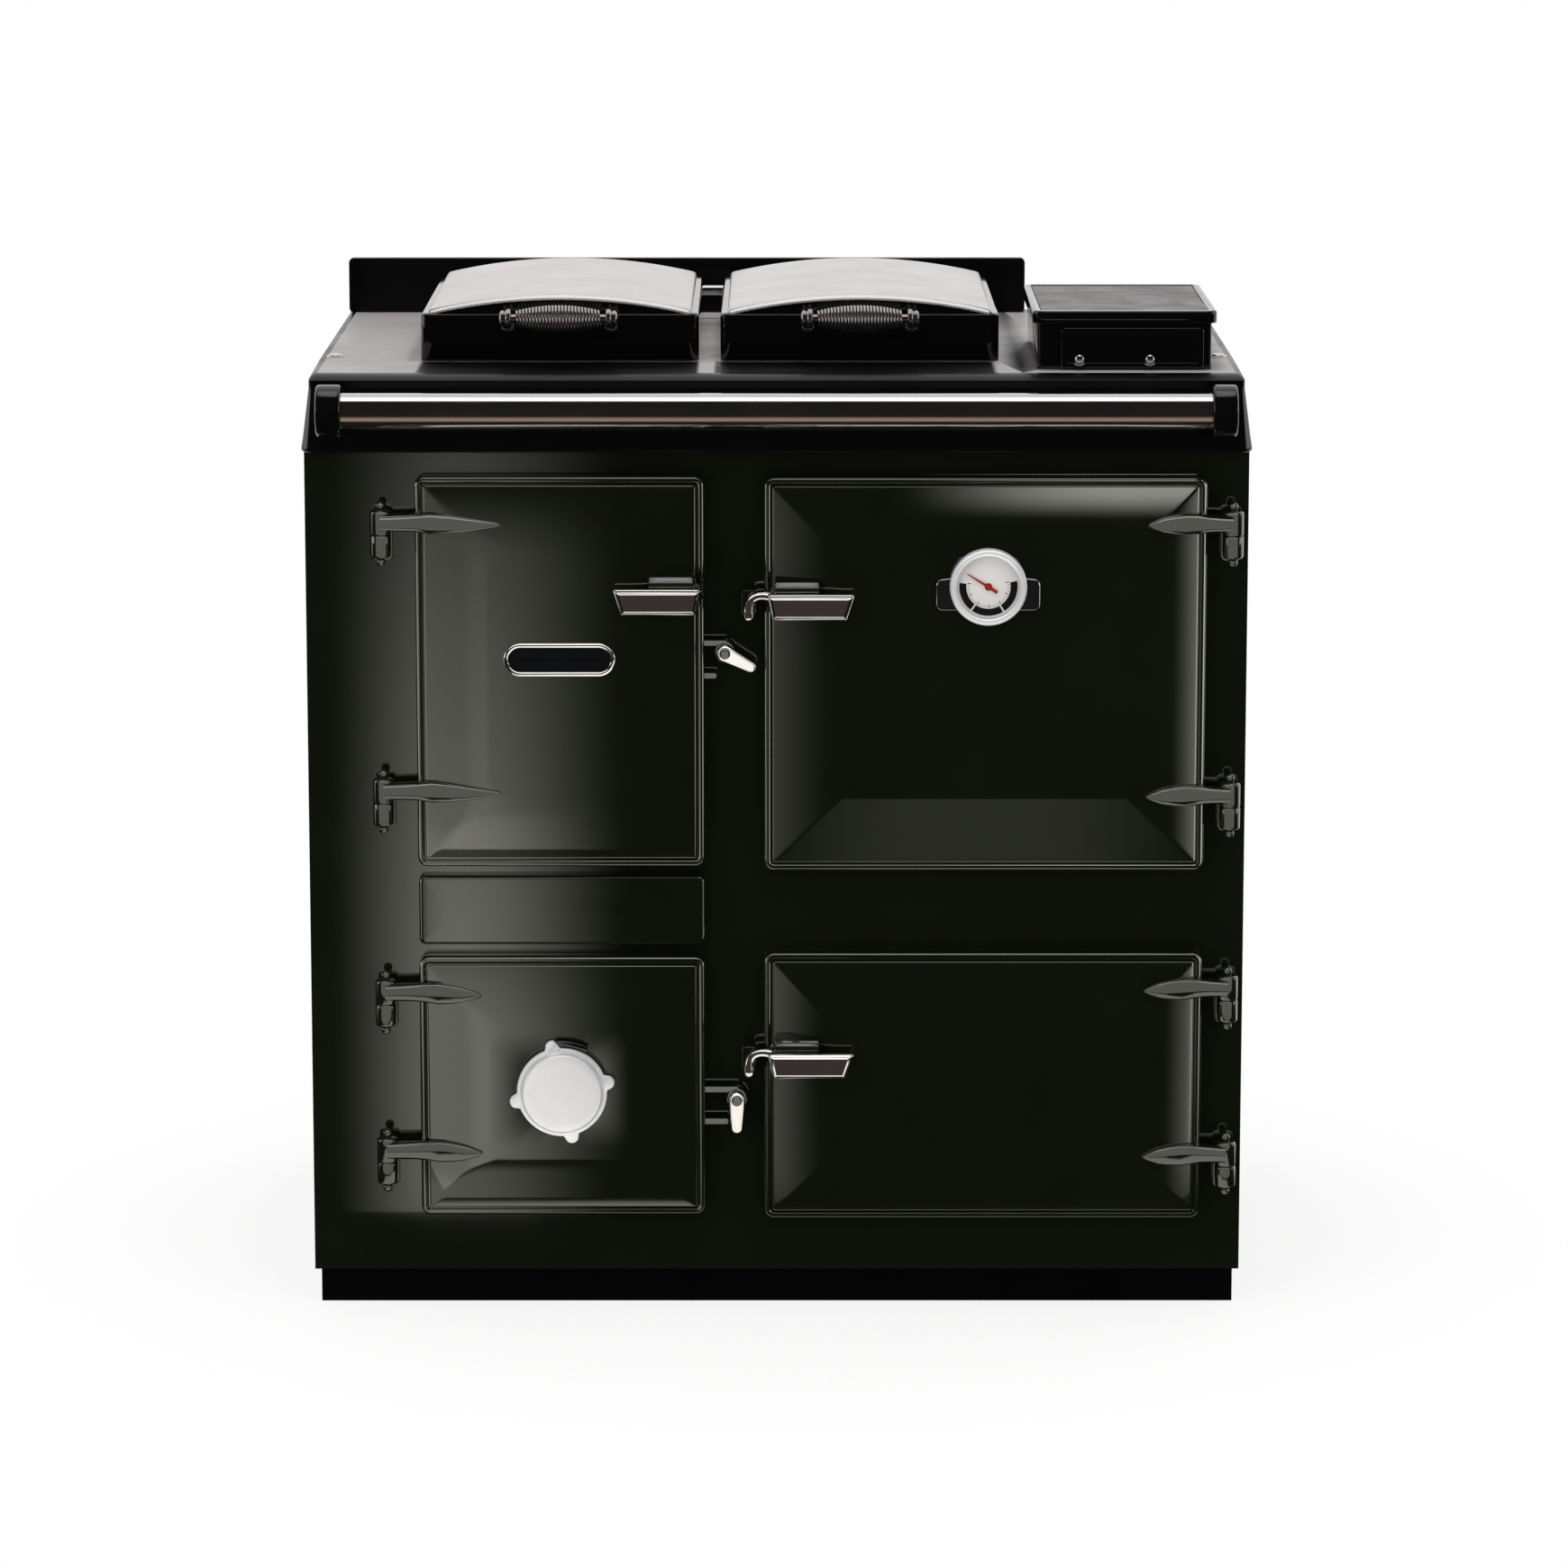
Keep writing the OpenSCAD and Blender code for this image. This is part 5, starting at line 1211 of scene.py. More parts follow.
@dataclass
class Thermometer:
    """The main oven door's thermometer: a bright bezel on a winged base, with a dial behind flat glass.

    Attributes:
        body: the door that carries it.
        wing: half the width of the base.
        bands: start and end angles of the dial's printed bands.
        band_radius: mean radius of the bands.
        band_width: width of the bands.
        tick_radius: radius from which the ticks run in.
        pointer_angle: where the pointer rests, in degrees from the right.
        pointer: distance along the pointer and half its width there.
    """

    body: str = "main_oven_door"
    wing: float = 50.0
    bands: Rows = ((172.0, 232.0), (236.0, 300.0), (304.0, 372.0))
    band_radius: float = 24.6
    band_width: float = 6.8
    tick_radius: float = 20.4
    pointer_angle: float = 148.0
    pointer: Rows = ((-10.0, 1.6), (0.0, 1.4), (24.0, 0.4))

    def __post_init__(self) -> None:
        """Reads the middle and the depths from the frame."""
        case, dial = Span.of("thermometer_case"), Span.of("thermometer_dial")
        self.centre = (dial.middle(Axis.X), dial.middle(Axis.Z))
        self.front, self.field_y = case.low[1], case.high[1]
        self.radius = case.high[2] - self.centre[1]
        self.dial_y = self.front + 7.0
        self.dial_r = dial.half(Axis.X)

    def bezel(self) -> Shell:
        """Ring round the dial: a swelling outer side, a rounded front and a step down to the glass.

        Returns:
            The bezel's shell.
        """
        y, foot, outer, inner = self.front, self.field_y, self.radius, self.dial_r
        loop = chain(
            [(outer - 1.5, foot + 0.4), (outer - 0.4, foot - 2.0), (outer, foot - 6.0)],
            arc((outer - 3.4, y + 3.4), 3.4, 10, -90, 8),
            [(inner - 0.2, y + 0.6), (inner - 0.7, y + 1.4), (inner - 0.7, y + 2.0), (inner + 0.1, y + 2.1)],
            [(inner + 0.1, foot + 0.4)],
        )
        return Shell().lathe(Axis.Y, self.centre, loop, 96, closed=True)

    def base(self) -> Shell:
        """Winged base on the door, with rounded edges.

        Returns:
            The base's shell.
        """
        wing = self.wing
        corners = np.array([(-wing, -24), (wing, -24), (wing, 6), (0, 12), (-wing, 6)]) + self.centre
        rows = rounded_edge(self.field_y, -1.0, ((3.0, 5.0), (1.2, 4.6), (0.3, 3.6), (0.0, 2.0), (0.0, -0.3)))
        return Shell().moulding(Axis.Y, rounded_corners(corners, 6.0, 6), rows)

    def bar(self, angle: float, stations: Rows) -> Points:
        """Outline of a bar that runs out from the middle at an angle.

        Args:
            angle: its direction in degrees, from the right.
            stations: rows of distance from the middle and half width.

        Returns:
            Points (2 * stations, 2).
        """
        way = unit(math.radians(angle))
        across = np.array([-way[1], way[0]])
        rows = [*stations, *((along, -half) for along, half in reversed(stations))]
        return np.array([np.array(self.centre) + along * way + half * across for along, half in rows])

    def print_marks(self) -> Shell:
        """The dial's print: bands round its foot, long and short ticks, and the cap in its middle.

        Returns:
            The print's shell.
        """
        shell = Shell()
        front, back = self.dial_y - 0.15, self.dial_y + 0.3
        low, high = (self.band_radius + way * self.band_width / 2 for way in (-1, 1))
        for start, stop in self.bands:
            band = chain(arc(self.centre, high, start, stop, 40), arc(self.centre, low, stop, start, 40))
            shell.strip(Axis.Y, band, (front, back))
        for k, angle in enumerate(np.linspace(170.0, 374.0, 31)):
            length, half = (3.4, 0.35) if k % 5 == 0 else (1.8, 0.2)
            tick = self.bar(angle, ((self.tick_radius, half), (self.tick_radius - length, half)))
            tick = tick[[0, 3, 2, 1]]
            shell.layers(Axis.Y, ((tick, front), (tick, back)))
        foot, top = self.dial_y + 0.2, self.dial_y - 0.5
        return shell.lathe(Axis.Y, self.centre, [(0.0, foot), (3.6, foot), (3.6, top), (0.0, top)], 32)

    def needle(self) -> Shell:
        """The pointer, which leans to the upper left, with its tail and its round middle.

        Returns:
            The needle's shell.
        """
        front, back = self.front + 4.8, self.front + 6.0
        middle = [(0.0, back), (3.0, back), (3.0, front + 0.3), (2.6, front), (0.0, front - 0.3)]
        outline = self.bar(self.pointer_angle, self.pointer)
        shell = Shell().lathe(Axis.Y, self.centre, middle, 32)
        return shell.layers(Axis.Y, ((outline, front), (outline, back)))

    def build(self) -> None:
        """Makes base, bezel, dial and print, and the needle."""
        y, dial_r = self.dial_y, self.dial_r
        face = [(0.0, y + 2.0), (dial_r, y + 2.0), (dial_r, y + 0.6), (dial_r - 0.8, y), (0.0, y)]
        dial = Shell().lathe(Axis.Y, self.centre, face, 96)
        make_piece("thermometer_bezel", self.bezel(), SATIN, "thermometer_case", self.body)
        make_piece("thermometer_base", self.base(), CHROME, "thermometer_case", self.body)
        make_piece("thermometer_face", dial, DIAL, "thermometer_dial", self.body, smooth=40.0)
        make_piece("thermometer_print", self.print_marks(), INK, "thermometer_dial", self.body, smooth=40.0)
        needle = "thermometer_needle"
        make_piece("thermometer_pointer", self.needle(), RED, needle, needle, smooth=40.0)


# ---------- casing and hob ----------


@dataclass
class Casing:
    """The fixed front pieces: the panel between the left doors, the catches' pads, and the hob's two parts.

    Attributes:
        half: half the width of the hob.
        front: front of the surround.
        back: back of the casing.
        foot: lower edge of the surround.
        seam: height where surround and plate meet.
        hob: height of the hob.
        flare: how far the surround's foot stands out.
        corner: corner radius of the hob.
        split: X where the two flat parts of the plate meet.
        roll: widths of the rolled edge at the sides, the front and the back.
        catch_pads: X, half width, height and front of each pad.
        deck_holes: sides and corner radius of the hotplate's cut-out and of the flue hole.
    """

    half: float = 449.0
    front: float = -314.0
    back: float = 300.0
    foot: float = 846.0
    seam: float = 908.0
    hob: float = 920.0
    flare: float = 8.0
    corner: float = 6.0
    split: float = 237.0
    roll: Place = (7.0, 22.0, 1.5)
    catch_pads: tuple[tuple[float, ...], ...] = (
        *((-50, 6, 652, -311.5), (-39, 6, 210, -311.5), (-27, 7, 702, -326.9), (-27, 7, 252, -326.9)),
    )
    deck_holes: tuple[tuple[Pair, Pair, float], ...] = (
        *(((-339.0, 208.0), (-185.0, 177.0), 24.0), ((266.0, 406.0), (-250.0, -26.0), 4.0)),
    )

    def middle_panel(self) -> None:
        """Plate between the fire door and the ash door, with a broad rounding at its edges."""
        box = Span.of("middle_panel")
        front = box.low[1]
        round_over = arc((4.0, front + 4.0), 4.0, 180, 270, 8)
        rows = chain([(0.0, PLATE_Y)], round_over, [(9.0, front - 0.15), (24.0, front - 0.4)])
        rings = ((box.ring(Axis.Y, i, max(6.0 - i, 1.0), PLATE_CUTS), y) for i, y in rows)
        make_piece("middle_panel_plate", Shell().layers(Axis.Y, rings), GREEN, "middle_panel")

    def catches(self) -> None:
        """Pads that the latches and the levers' tails close against."""
        shell = Shell()
        for x, half, z, front in self.catch_pads:
            outline = rounded_rectangle((x - half, x + half), (z - 12.0, z + 12.0), 3.0)
            rows = rounded_edge(front, 1.0, ((1.6, 0.0), (0.5, 0.4), (0.0, 1.6)))
            shell.moulding(Axis.Y, outline, rows + [(0.0, PLATE_Y)])
        make_piece("catch_pads", shell, GREEN, "door_catches")

    def surround(self) -> None:
        """Band round the hob's front and sides, which flares out to a rounded foot."""
        corner = rounded_rectangle((-self.half, self.half), (self.front, 2 * self.back), self.corner, steps=8)
        outline = np.roll(corner, -np.argmax(corner[:, 1] < self.back), axis=0)
        outline = outline[outline[:, 1] < self.back - 1]
        line = chain([(-self.half, self.back)], outline, [(self.half, self.back)])
        side = np.gradient(line, axis=0)
        outward = np.stack([side[:, 1], -side[:, 0]], -1)
        outward[0], outward[-1] = (-1.0, 0.0), (1.0, 0.0)
        height = self.seam - self.foot
        profile = chain(
            rounded_edge(self.seam, -1.0, ((-12.0, 0.0), (-1.0, 0.0), (-0.25, 0.3), (0.1, 1.0))),
            [(self.flare * (1 - k), self.foot + height * k) for k in (0.75, 0.5, 0.25)],
            arc((self.flare - 3.2, self.foot + 3.2), 3.2, 8, -90, 6),
            [(-12.0, self.foot)],
        )
        rings = line[:, None, :] + normalised(outward)[:, None, :] * profile[None, :, :1]
        sections = Axis.Z.place(rings, profile[:, 1])
        make_piece("hob_surround_band", Shell().rings(sections), BLACK, "hob_surround")

    def hob_ring(self, share: float) -> Points:
        """Outline of the hob, drawn in by a share of the roll. Its corner radius falls to 0.4 of itself.

        Args:
            share: 0 at the hob's edge, and 1 where the roll meets the flat top.

        Returns:
            Points (n, 2).
        """
        side, front, back = (share * width for width in self.roll)
        x, y = (-self.half + side, self.half - side), (self.front + front, self.back - back)
        return rounded_rectangle(x, y, self.corner * (1 - 0.6 * share), DECK_CUTS)

    def top_plate(self) -> None:
        """Hob plate: a rolled edge, and two flat parts round the hotplate's cut-out and the flue hole.

        The roll falls by the square of the distance from its inner edge: 2 mm at the sides and 5 mm in front.
        """
        rings = [(self.hob_ring(0.0), self.seam)]
        for share in (0.0, 0.02, 0.08, 0.18, 0.32, 0.5, 0.7, 0.88, 1.0):
            ring = self.hob_ring(share)
            drop = 2.0 + 3.0 * np.clip((self.front + 30 - ring[:, 1]) / 24, 0.0, 1.0)
            rings.append((ring, self.hob - (1 - share) ** 2 * drop))
        rings.append((self.hob_ring(1.0), self.seam))
        roll = Shell().layers(Axis.Z, rings, closed=True)
        make_piece("top_plate_roll", roll, DULL, "top_plate", smooth=40.0)
        deck = Shell()
        side, front, back = self.roll
        parts = ((-self.half + side, self.split), (self.split, self.half - side))
        for x, (hole_x, hole_y, radius) in zip(parts, self.deck_holes):
            outer = rounded_rectangle(x, (self.front + front, self.back - back), 0.02, DECK_CUTS)
            hole = rounded_rectangle(hole_x, hole_y, radius, DECK_CUTS)
            layers = [(outer, self.hob), (inset_polygon(hole, -0.6), self.hob), (hole, self.hob - 0.6)]
            deck.layers(Axis.Z, layers + [(hole, self.seam), (outer, self.seam)], closed=True)
        make_piece("top_plate_deck", deck, HOB, "top_plate", smooth=40.0)

    def splashback(self) -> None:
        """Strip behind the lids, with a rounded top and a foot that runs back from it."""
        box = Span.of("splashback")
        x, y, hob = (box.low[0], box.high[0]), box.low[1], self.hob
        rows = both_edges(y, y + 12, ((1.6, 0.0), (0.5, 0.4), (0.0, 1.6)))
        shell = Shell().moulding(Axis.Y, rounded_rectangle(x, (hob, box.high[2]), 5.0, 8), rows)
        foot = rounded_rectangle(x, (y + 11.0, box.high[1]), 2.0)
        edge = ((0.0, -0.1), (0.0, 5.0), (0.4, 5.8), (1.2, 6.0))
        shell.moulding(Axis.Z, foot, rounded_edge(hob, 1.0, edge))
        make_piece("splashback_strip", shell, DULL, "splashback")

    def build(self) -> None:
        """Makes every piece of the casing."""
        self.middle_panel()
        self.catches()
        self.surround()
        self.top_plate()
        self.splashback()


@dataclass
class TowelRail:
    """The rail before the hob: a polished tube in two cast brackets that clasp its ends.

    Attributes:
        y: Y of the tube's middle line.
        z: its height.
        radius: radius of the tube.
        head: radius of a bracket's head.
        inner: X of a bracket's inner face.
        outer: X of its outer face.
    """

    y: float = -375.0
    z: float = 893.0
    radius: float = 17.0
    head: float = 25.0
    inner: float = 413.0
    outer: float = 437.0

    def build(self) -> None:
        """Makes the tube and both brackets, round heads that run back with a slack curve to the surround."""
        end = self.outer - 12.0
        tube = [(0.0, -end), (self.radius - 0.6, -end), (self.radius, -end + 0.6)]
        tube += [(r, -x) for r, x in reversed(tube)]
        shell = Shell().lathe(Axis.X, (self.y, self.z), tube, 96)
        make_piece("towel_rail_tube", shell, TUBE, "towel_rail", smooth=40.0)
        head = arc((self.y, self.z), self.head, 62, 300, 26)
        outline = chain(head, [(-318.0, self.z - 21.0), (-315.6, self.z - 20.0), (-314.6, self.z + 12.0)])
        shell = Shell()
        for side in (-1.0, 1.0):
            low, high = sorted((side * self.inner, side * self.outer))
            rows = both_edges(low, high, ((3.2, 0.0), (1.8, 0.3), (0.7, 1.1), (0.15, 2.2), (0.0, 3.4)))
            shell.moulding(Axis.X, outline, rows)
        make_piece("towel_rail_brackets", shell, BLACK, "rail_brackets")


@dataclass
class Lid:
    """An insulating lid: a black cast shell, a crowned bright cover and a handle with a coil grip.

    Attributes:
        name: the lid's body, and the start of its nodes' names.
        height: height of the shell.
        corner: corner radius of the shell.
        half: half the width of the shell.
        cover_half: half the width of the cover.
        crown: rise of the cover's arc.
        lip: height of the cover's edge over the shell.
        roll: radius of its rolled edge.
        arm_x: distance of the arms from the lid's middle.
        grip: Y and Z of the handle's middle line.
        coil: length of the coil.
        coil_radii: radius of the coil's middle line at its ends and in its middle.
        wire: thickness of the wire.
        bend: radius of the bends at the wire's ends.
        curls: number of curls.
    """

    name: str
    height: float = 46.0
    corner: float = 9.0
    half: float = 136.0
    cover_half: float = 129.0
    crown: float = 15.0
    lip: float = 4.0
    roll: float = 3.6
    arm_x: float = 106.0
    grip: Pair = (-225.0, 965.0)
    coil: float = 92.0
    coil_radii: Pair = (6.5, 12.0)
    wire: float = 2.6
    bend: float = 2.2
    curls: int = 26

    def __post_init__(self) -> None:
        """Reads the lid's place from the frame."""
        cover = Span.of(f"{self.name}_cover")
        self.x = Span.of(f"{self.name}_liner").middle(Axis.X)
        self.y = (cover.low[1], cover.high[1])
        self.foot_z = 920.5
        self.top_z = self.foot_z + self.height
        self.crown_radius = (self.cover_half**2 + self.crown**2) / (2 * self.crown)

    def crown_z(self, x: Points, drop: float) -> Points:
        """Height of the cover at a distance x from its middle line: a circle's arc over the lid's width."""
        base = self.top_z + self.lip + self.crown - self.crown_radius
        return base + np.sqrt(self.crown_radius**2 - np.clip(np.abs(x), 0, self.cover_half + 4) ** 2) - drop

    def casting(self) -> Shell:
        """Cast shell: rounded walls open below, a flat top, the filling under the cover, and two arms.

        Returns:
            The casting's shell.
        """
        y0, y1 = self.y[0] - 2.0, self.y[1] + 2.0
        rows = rounded_edge(self.foot_z, 1.0, ((5.6, 0.0), (0.8, 0.0), (0.2, 0.4), (0.0, 1.2)))
        top = ((0.0, 3.0), (0.25, 1.8), (1.0, 0.7), (2.4, 0.0), (40.0, 0.0), (40.0, 6.0), (6.0, 6.0))
        rings = []
        for inset, z in rows + rounded_edge(self.top_z, -1.0, top):
            x = (self.x - self.half + inset, self.x + self.half - inset)
            radius = max(self.corner - inset * 0.8, 2.0)
            rings.append((rounded_rectangle(x, (y0 + inset, y1 - inset), radius, PLATE_CUTS), z))
        shell = Shell().layers(Axis.Z, rings, closed=True)
        xs = np.linspace(-127.0, 127.0, 25)
        foot = np.stack([xs, np.full_like(xs, self.top_z - 3.0)], -1)
        arch = np.stack([xs, self.crown_z(xs, 1.4)], -1)
        shell.strip(Axis.Y, chain(foot, arch[::-1]) + (self.x, 0.0), (self.y[0] + 2.0, self.y[1] - 2.0))
        eye = chain(arc((200.0, 950.0), 10.0, -90, 90, 12), [(184.0, 958.5), (184.0, 941.5)])
        for side in (-1.0, 1.0):
            x = self.x + side * self.arm_x
            shell.moulding(Axis.X, eye, both_edges(x - 10.0, x + 10.0, ((1.2, 0.0), (0.3, 0.4), (0.0, 1.2))))
        return shell

    def cover(self) -> Shell:
        """Bright cover: its rings run from the lip over the rolled edge and in across the crown.

        Returns:
            The cover's shell.
        """
        cuts = tuple(np.linspace(0.0, 1.0, 26)[1:-1])
        rows = [(126.0, 1.6), (40.0, 1.3), (3.0, 1.3), (1.2, 2.4), (1.0, 5.6), (0.0, 5.6)]
        rows += arc((self.roll, self.roll), self.roll, 180, 270, 7).tolist()
        rows += [(inset, 0.0) for inset in (6.0, 10.0, 18.0, 34.0, 58.0, 84.0, 108.0, 126.0)]
        rings = []
        for inset, drop in rows:
            x = (-self.cover_half + inset, self.cover_half - inset)
            radius = max(3.0 - inset * 0.5, 0.6)
            ring = rounded_rectangle(x, (self.y[0] + inset, self.y[1] - inset), radius, cuts)
            rings.append((ring + (self.x, 0.0), self.crown_z(ring[:, 0], drop)))
        return Shell().layers(Axis.Z, rings)

    def coil_grip(self) -> Shell:
        """Wire on a helix that swells to its middle by sin(pi u)^0.8, with ends turned into the collars.

        Returns:
            The coil's shell.
        """
        end, middle = self.coil_radii
        half = self.coil / 2 - self.wire - self.bend
        u = np.linspace(0.0, 1.0, self.curls * 16 + 1)
        turn = 2 * math.pi * self.curls * u
        corner = np.linspace(0, math.pi / 2, 6)[1:]
        lead_x = half + self.bend * (1 - np.cos(corner))
        lead = self.bend * np.sin(corner) / end
        end_x = self.coil / 2
        along = np.concatenate([[-end_x], -lead_x[::-1], 2 * half * u - half, lead_x, [end_x]])
        turn = np.concatenate([[-lead[-1]], -lead[::-1], turn, turn[-1] + lead, [turn[-1] + lead[-1]]])
        radius = np.full(len(turn), end)
        radius[6:-6] += (middle - end) * np.sin(math.pi * u) ** 0.8
        radial = Axis.X.place(unit(turn), 0.0)
        path = radius[:, None] * radial
        path[:, 0] = along
        way = normalised(np.gradient(path, axis=0))
        out = normalised(radial - np.sum(radial * way, axis=1)[:, None] * way)
        across = np.cross(way, out)
        section = circle(self.wire / 2, 8)[None, :, :]
        rings = path[:, None, :] + section[..., :1] * out[:, None, :] + section[..., 1:] * across[:, None, :]
        return Shell().rings(rings + (self.x, *self.grip))

    def posts(self) -> Shell:
        """Rod with turned collars and end balls, on two posts that curve back to feet on the lid's front.

        Returns:
            The shell of rod, collars and posts.
        """
        (y, z), half, x = self.grip, self.coil / 2, self.x
        rod = [(0.0, x - half - 2), (4.0, x - half - 2), (4.0, x + half + 2), (0.0, x + half + 2)]
        shell = Shell().lathe(Axis.X, self.grip, rod, 24)
        foot = [(0.0, 0.0), (7.6, 0.0), (9.0, 0.8), (9.5, 2.4), (9.0, 4.2)]
        waist = [(7.2, 5.4), (6.8, 6.4), (7.8, 7.2)]
        collar = chain(foot, waist, arc((0.0, 8.6), (8.0, 3.6), 4, 90, 8)) + (0.0, half)
        bends = ((1.5, -3.0), (8.0, -6.0), (17.0, -7.6), (29.0, -8.0), (33.0, -8.0))
        front = self.y[0] - 2.0
        for side in (-1.0, 1.0):
            shell.lathe(Axis.X, self.grip, collar * (1.0, side) + (0.0, x), 36)
            post_x = x + side * (half + 4.5)
            path = spline([(post_x, y + back, z + rise) for back, rise in bends])
            shell.tube(path, np.full((len(path), 2), 4.0), (1.0, 0.0, 0.0), power=3.0)
            foot = rounded_rectangle((post_x - 6.5, post_x + 6.5), (z - 16.0, z), 4.5)
            edge = ((2.2, 4.0), (0.9, 3.6), (0.2, 2.6), (0.0, 1.2), (0.0, -0.6))
            shell.moulding(Axis.Y, foot, rounded_edge(front, -1.0, edge))
        return shell

    def build(self) -> None:
        """Makes the lid's pieces."""
        name = self.name
        make_piece(f"{name}_casting", self.casting(), BLACK, f"{name}_shell", name)
        make_piece(f"{name}_sheet", self.cover(), STEEL, f"{name}_cover", name, smooth=60.0)
        make_piece(f"{name}_grip", self.coil_grip(), NICKEL, f"{name}_handle", name, smooth=70.0)
        make_piece(f"{name}_posts", self.posts(), NICKEL, f"{name}_handle", name)


@dataclass
class Flue:
    """The flue box beside the lids: a cast box, a cover with a plate in its frame, and a soot door.

    Attributes:
        frame: width of the cover's frame.
        nuts: X of the soot door's nuts.
        nuts_z: their height.
        hob_screws: places (x, y) of the two screws on the hob.
        spigot: middle (x, z) of the spigot behind.
        flange: radius of the circle of its four screws.
        side_screws: heights of the screws up each side.
    """

    frame: float = 8.0
    nuts: Pair = (292.0, 360.0)
    nuts_z: float = 931.0
    hob_screws: Rows = ((-434.0, -150.0), (434.0, -150.0))
    spigot: Pair = (335.0, 740.0)
    flange: float = 76.5
    side_screws: Place = (94.0, 440.0, 786.0)

    def cover(self, box: Span) -> None:
        """Makes the cover's frame and the plate let into it.

        Args:
            box: the cover's box.
        """
        low, top = box.low[2], box.high[2]
        frame = self.frame
        rows = chain(
            [(4.0, low), (0.6, low), (0.0, low + 0.6), (0.0, top - 3.4)],
            arc((2.6, top - 2.6), 2.6, 180, 90, 6),
            [(frame - 0.8, top), (frame - 0.2, top - 0.4), (frame, top - 1.2), (frame, top - 2.2)],
        )
        shell = Shell().moulding(Axis.Z, box.ring(Axis.Z, 0.0, 11.5), rows)
        make_piece("flue_cover_frame", shell, BLACK, "flue_cover")
        rows = rounded_edge(top, -1.0, ((0.0, 3.0), (0.0, 1.5), (0.3, 1.0), (1.0, 0.7)))
        shell = Shell().moulding(Axis.Z, box.ring(Axis.Z, frame + 0.5, 3.5), rows)
        make_piece("flue_cover_plate", shell, PLATE_IRON, "flue_cover", smooth=40.0)

    def build(self) -> None:
        """Makes box, cover, soot door and every screw."""
        box, door = Span.of("flue_box"), Span.of("flue_door")
        rows = [(0.0, box.low[2] - 0.1), (0.0, box.high[2])]
        shell = Shell().moulding(Axis.Z, box.ring(Axis.Z, 0.0, 5.0), rows)
        make_piece("flue_box_casting", shell, BLACK, "flue_box")
        self.cover(Span.of("flue_cover"))
        front, back = door.low[1], door.high[1]
        rows = [(1.8, front), (0.6, front + 0.35), (0.0, front + 1.6), (0.0, back + 0.2)]
        shell = Shell().moulding(Axis.Y, door.ring(Axis.Y, 0.0, 4.0), rows)
        rows = [(5.4, front + 0.4), (5.4, front - 0.9), (6.0, front - 1.2)]
        shell.moulding(Axis.Y, door.ring(Axis.Y, 0.0, 6.5), rows)
        make_piece("flue_door_plate", shell, BLACK, "flue_door")
        self.screws(front)

    def dome(self, shell: Shell, axis: Axis, centre: Pair, base: float, radius: float, height: float) -> None:
        """Adds a domed head on a thin washer.

        Args:
            shell: the shell that takes it.
            axis: its own axis.
            centre: where the axis passes, on the two other axes.
            base: depth of its foot along the axis.
            radius: radius of the washer.
            height: height of the head. A negative one points it the other way along the axis.
        """
        way = math.copysign(1.0, height)
        washer = [(0.0, base), (radius, base), (radius, base + 0.7 * way), (radius * 0.9, base + way)]
        crown = arc((0.0, base + way), (radius * 0.82, height - way), 0, 90, 7)
        shell.lathe(axis, centre, chain(washer, crown), 32)

    def screws(self, door_y: float) -> None:
        """Every fixing: two on the hob, two nuts on the soot door, four on the spigot and three up each side.

        Args:
            door_y: front of the soot door.
        """
        shell = Shell()
        for place in self.hob_screws:
            self.dome(shell, Axis.Z, place, 920.0, 9.0, 3.0)
        for x in self.nuts:
            self.dome(shell, Axis.Y, (x, self.nuts_z), door_y, 7.0, -8.0)
        for place in arc(self.spigot, self.flange, 45, 315, 3):
            self.dome(shell, Axis.Y, place, 308.0, 6.0, 4.0)
        for z in self.side_screws:
            for way in (1.0, -1.0):
                self.dome(shell, Axis.X, (280.0, z), way * 455.0, 5.0, way * 1.8)
        make_piece("fixing_heads", shell, CHROME, "fixing_screws")


# ---------- light ----------


def shine_on(lamp: bpy.types.Object, lights: tuple[str, ...]) -> None:
    """Lets a lamp light only the pieces whose names start with one of lights.

    Args:
        lamp: the lamp.
        lights: starts of the pieces' names.
    """
    shown = bpy.data.collections.new(f"{lamp.name} shows on")
    for obj in bpy.data.objects:
        if obj.name.startswith(lights):
            shown.objects.link(obj)
    lamp.light_linking.receiver_collection = shown


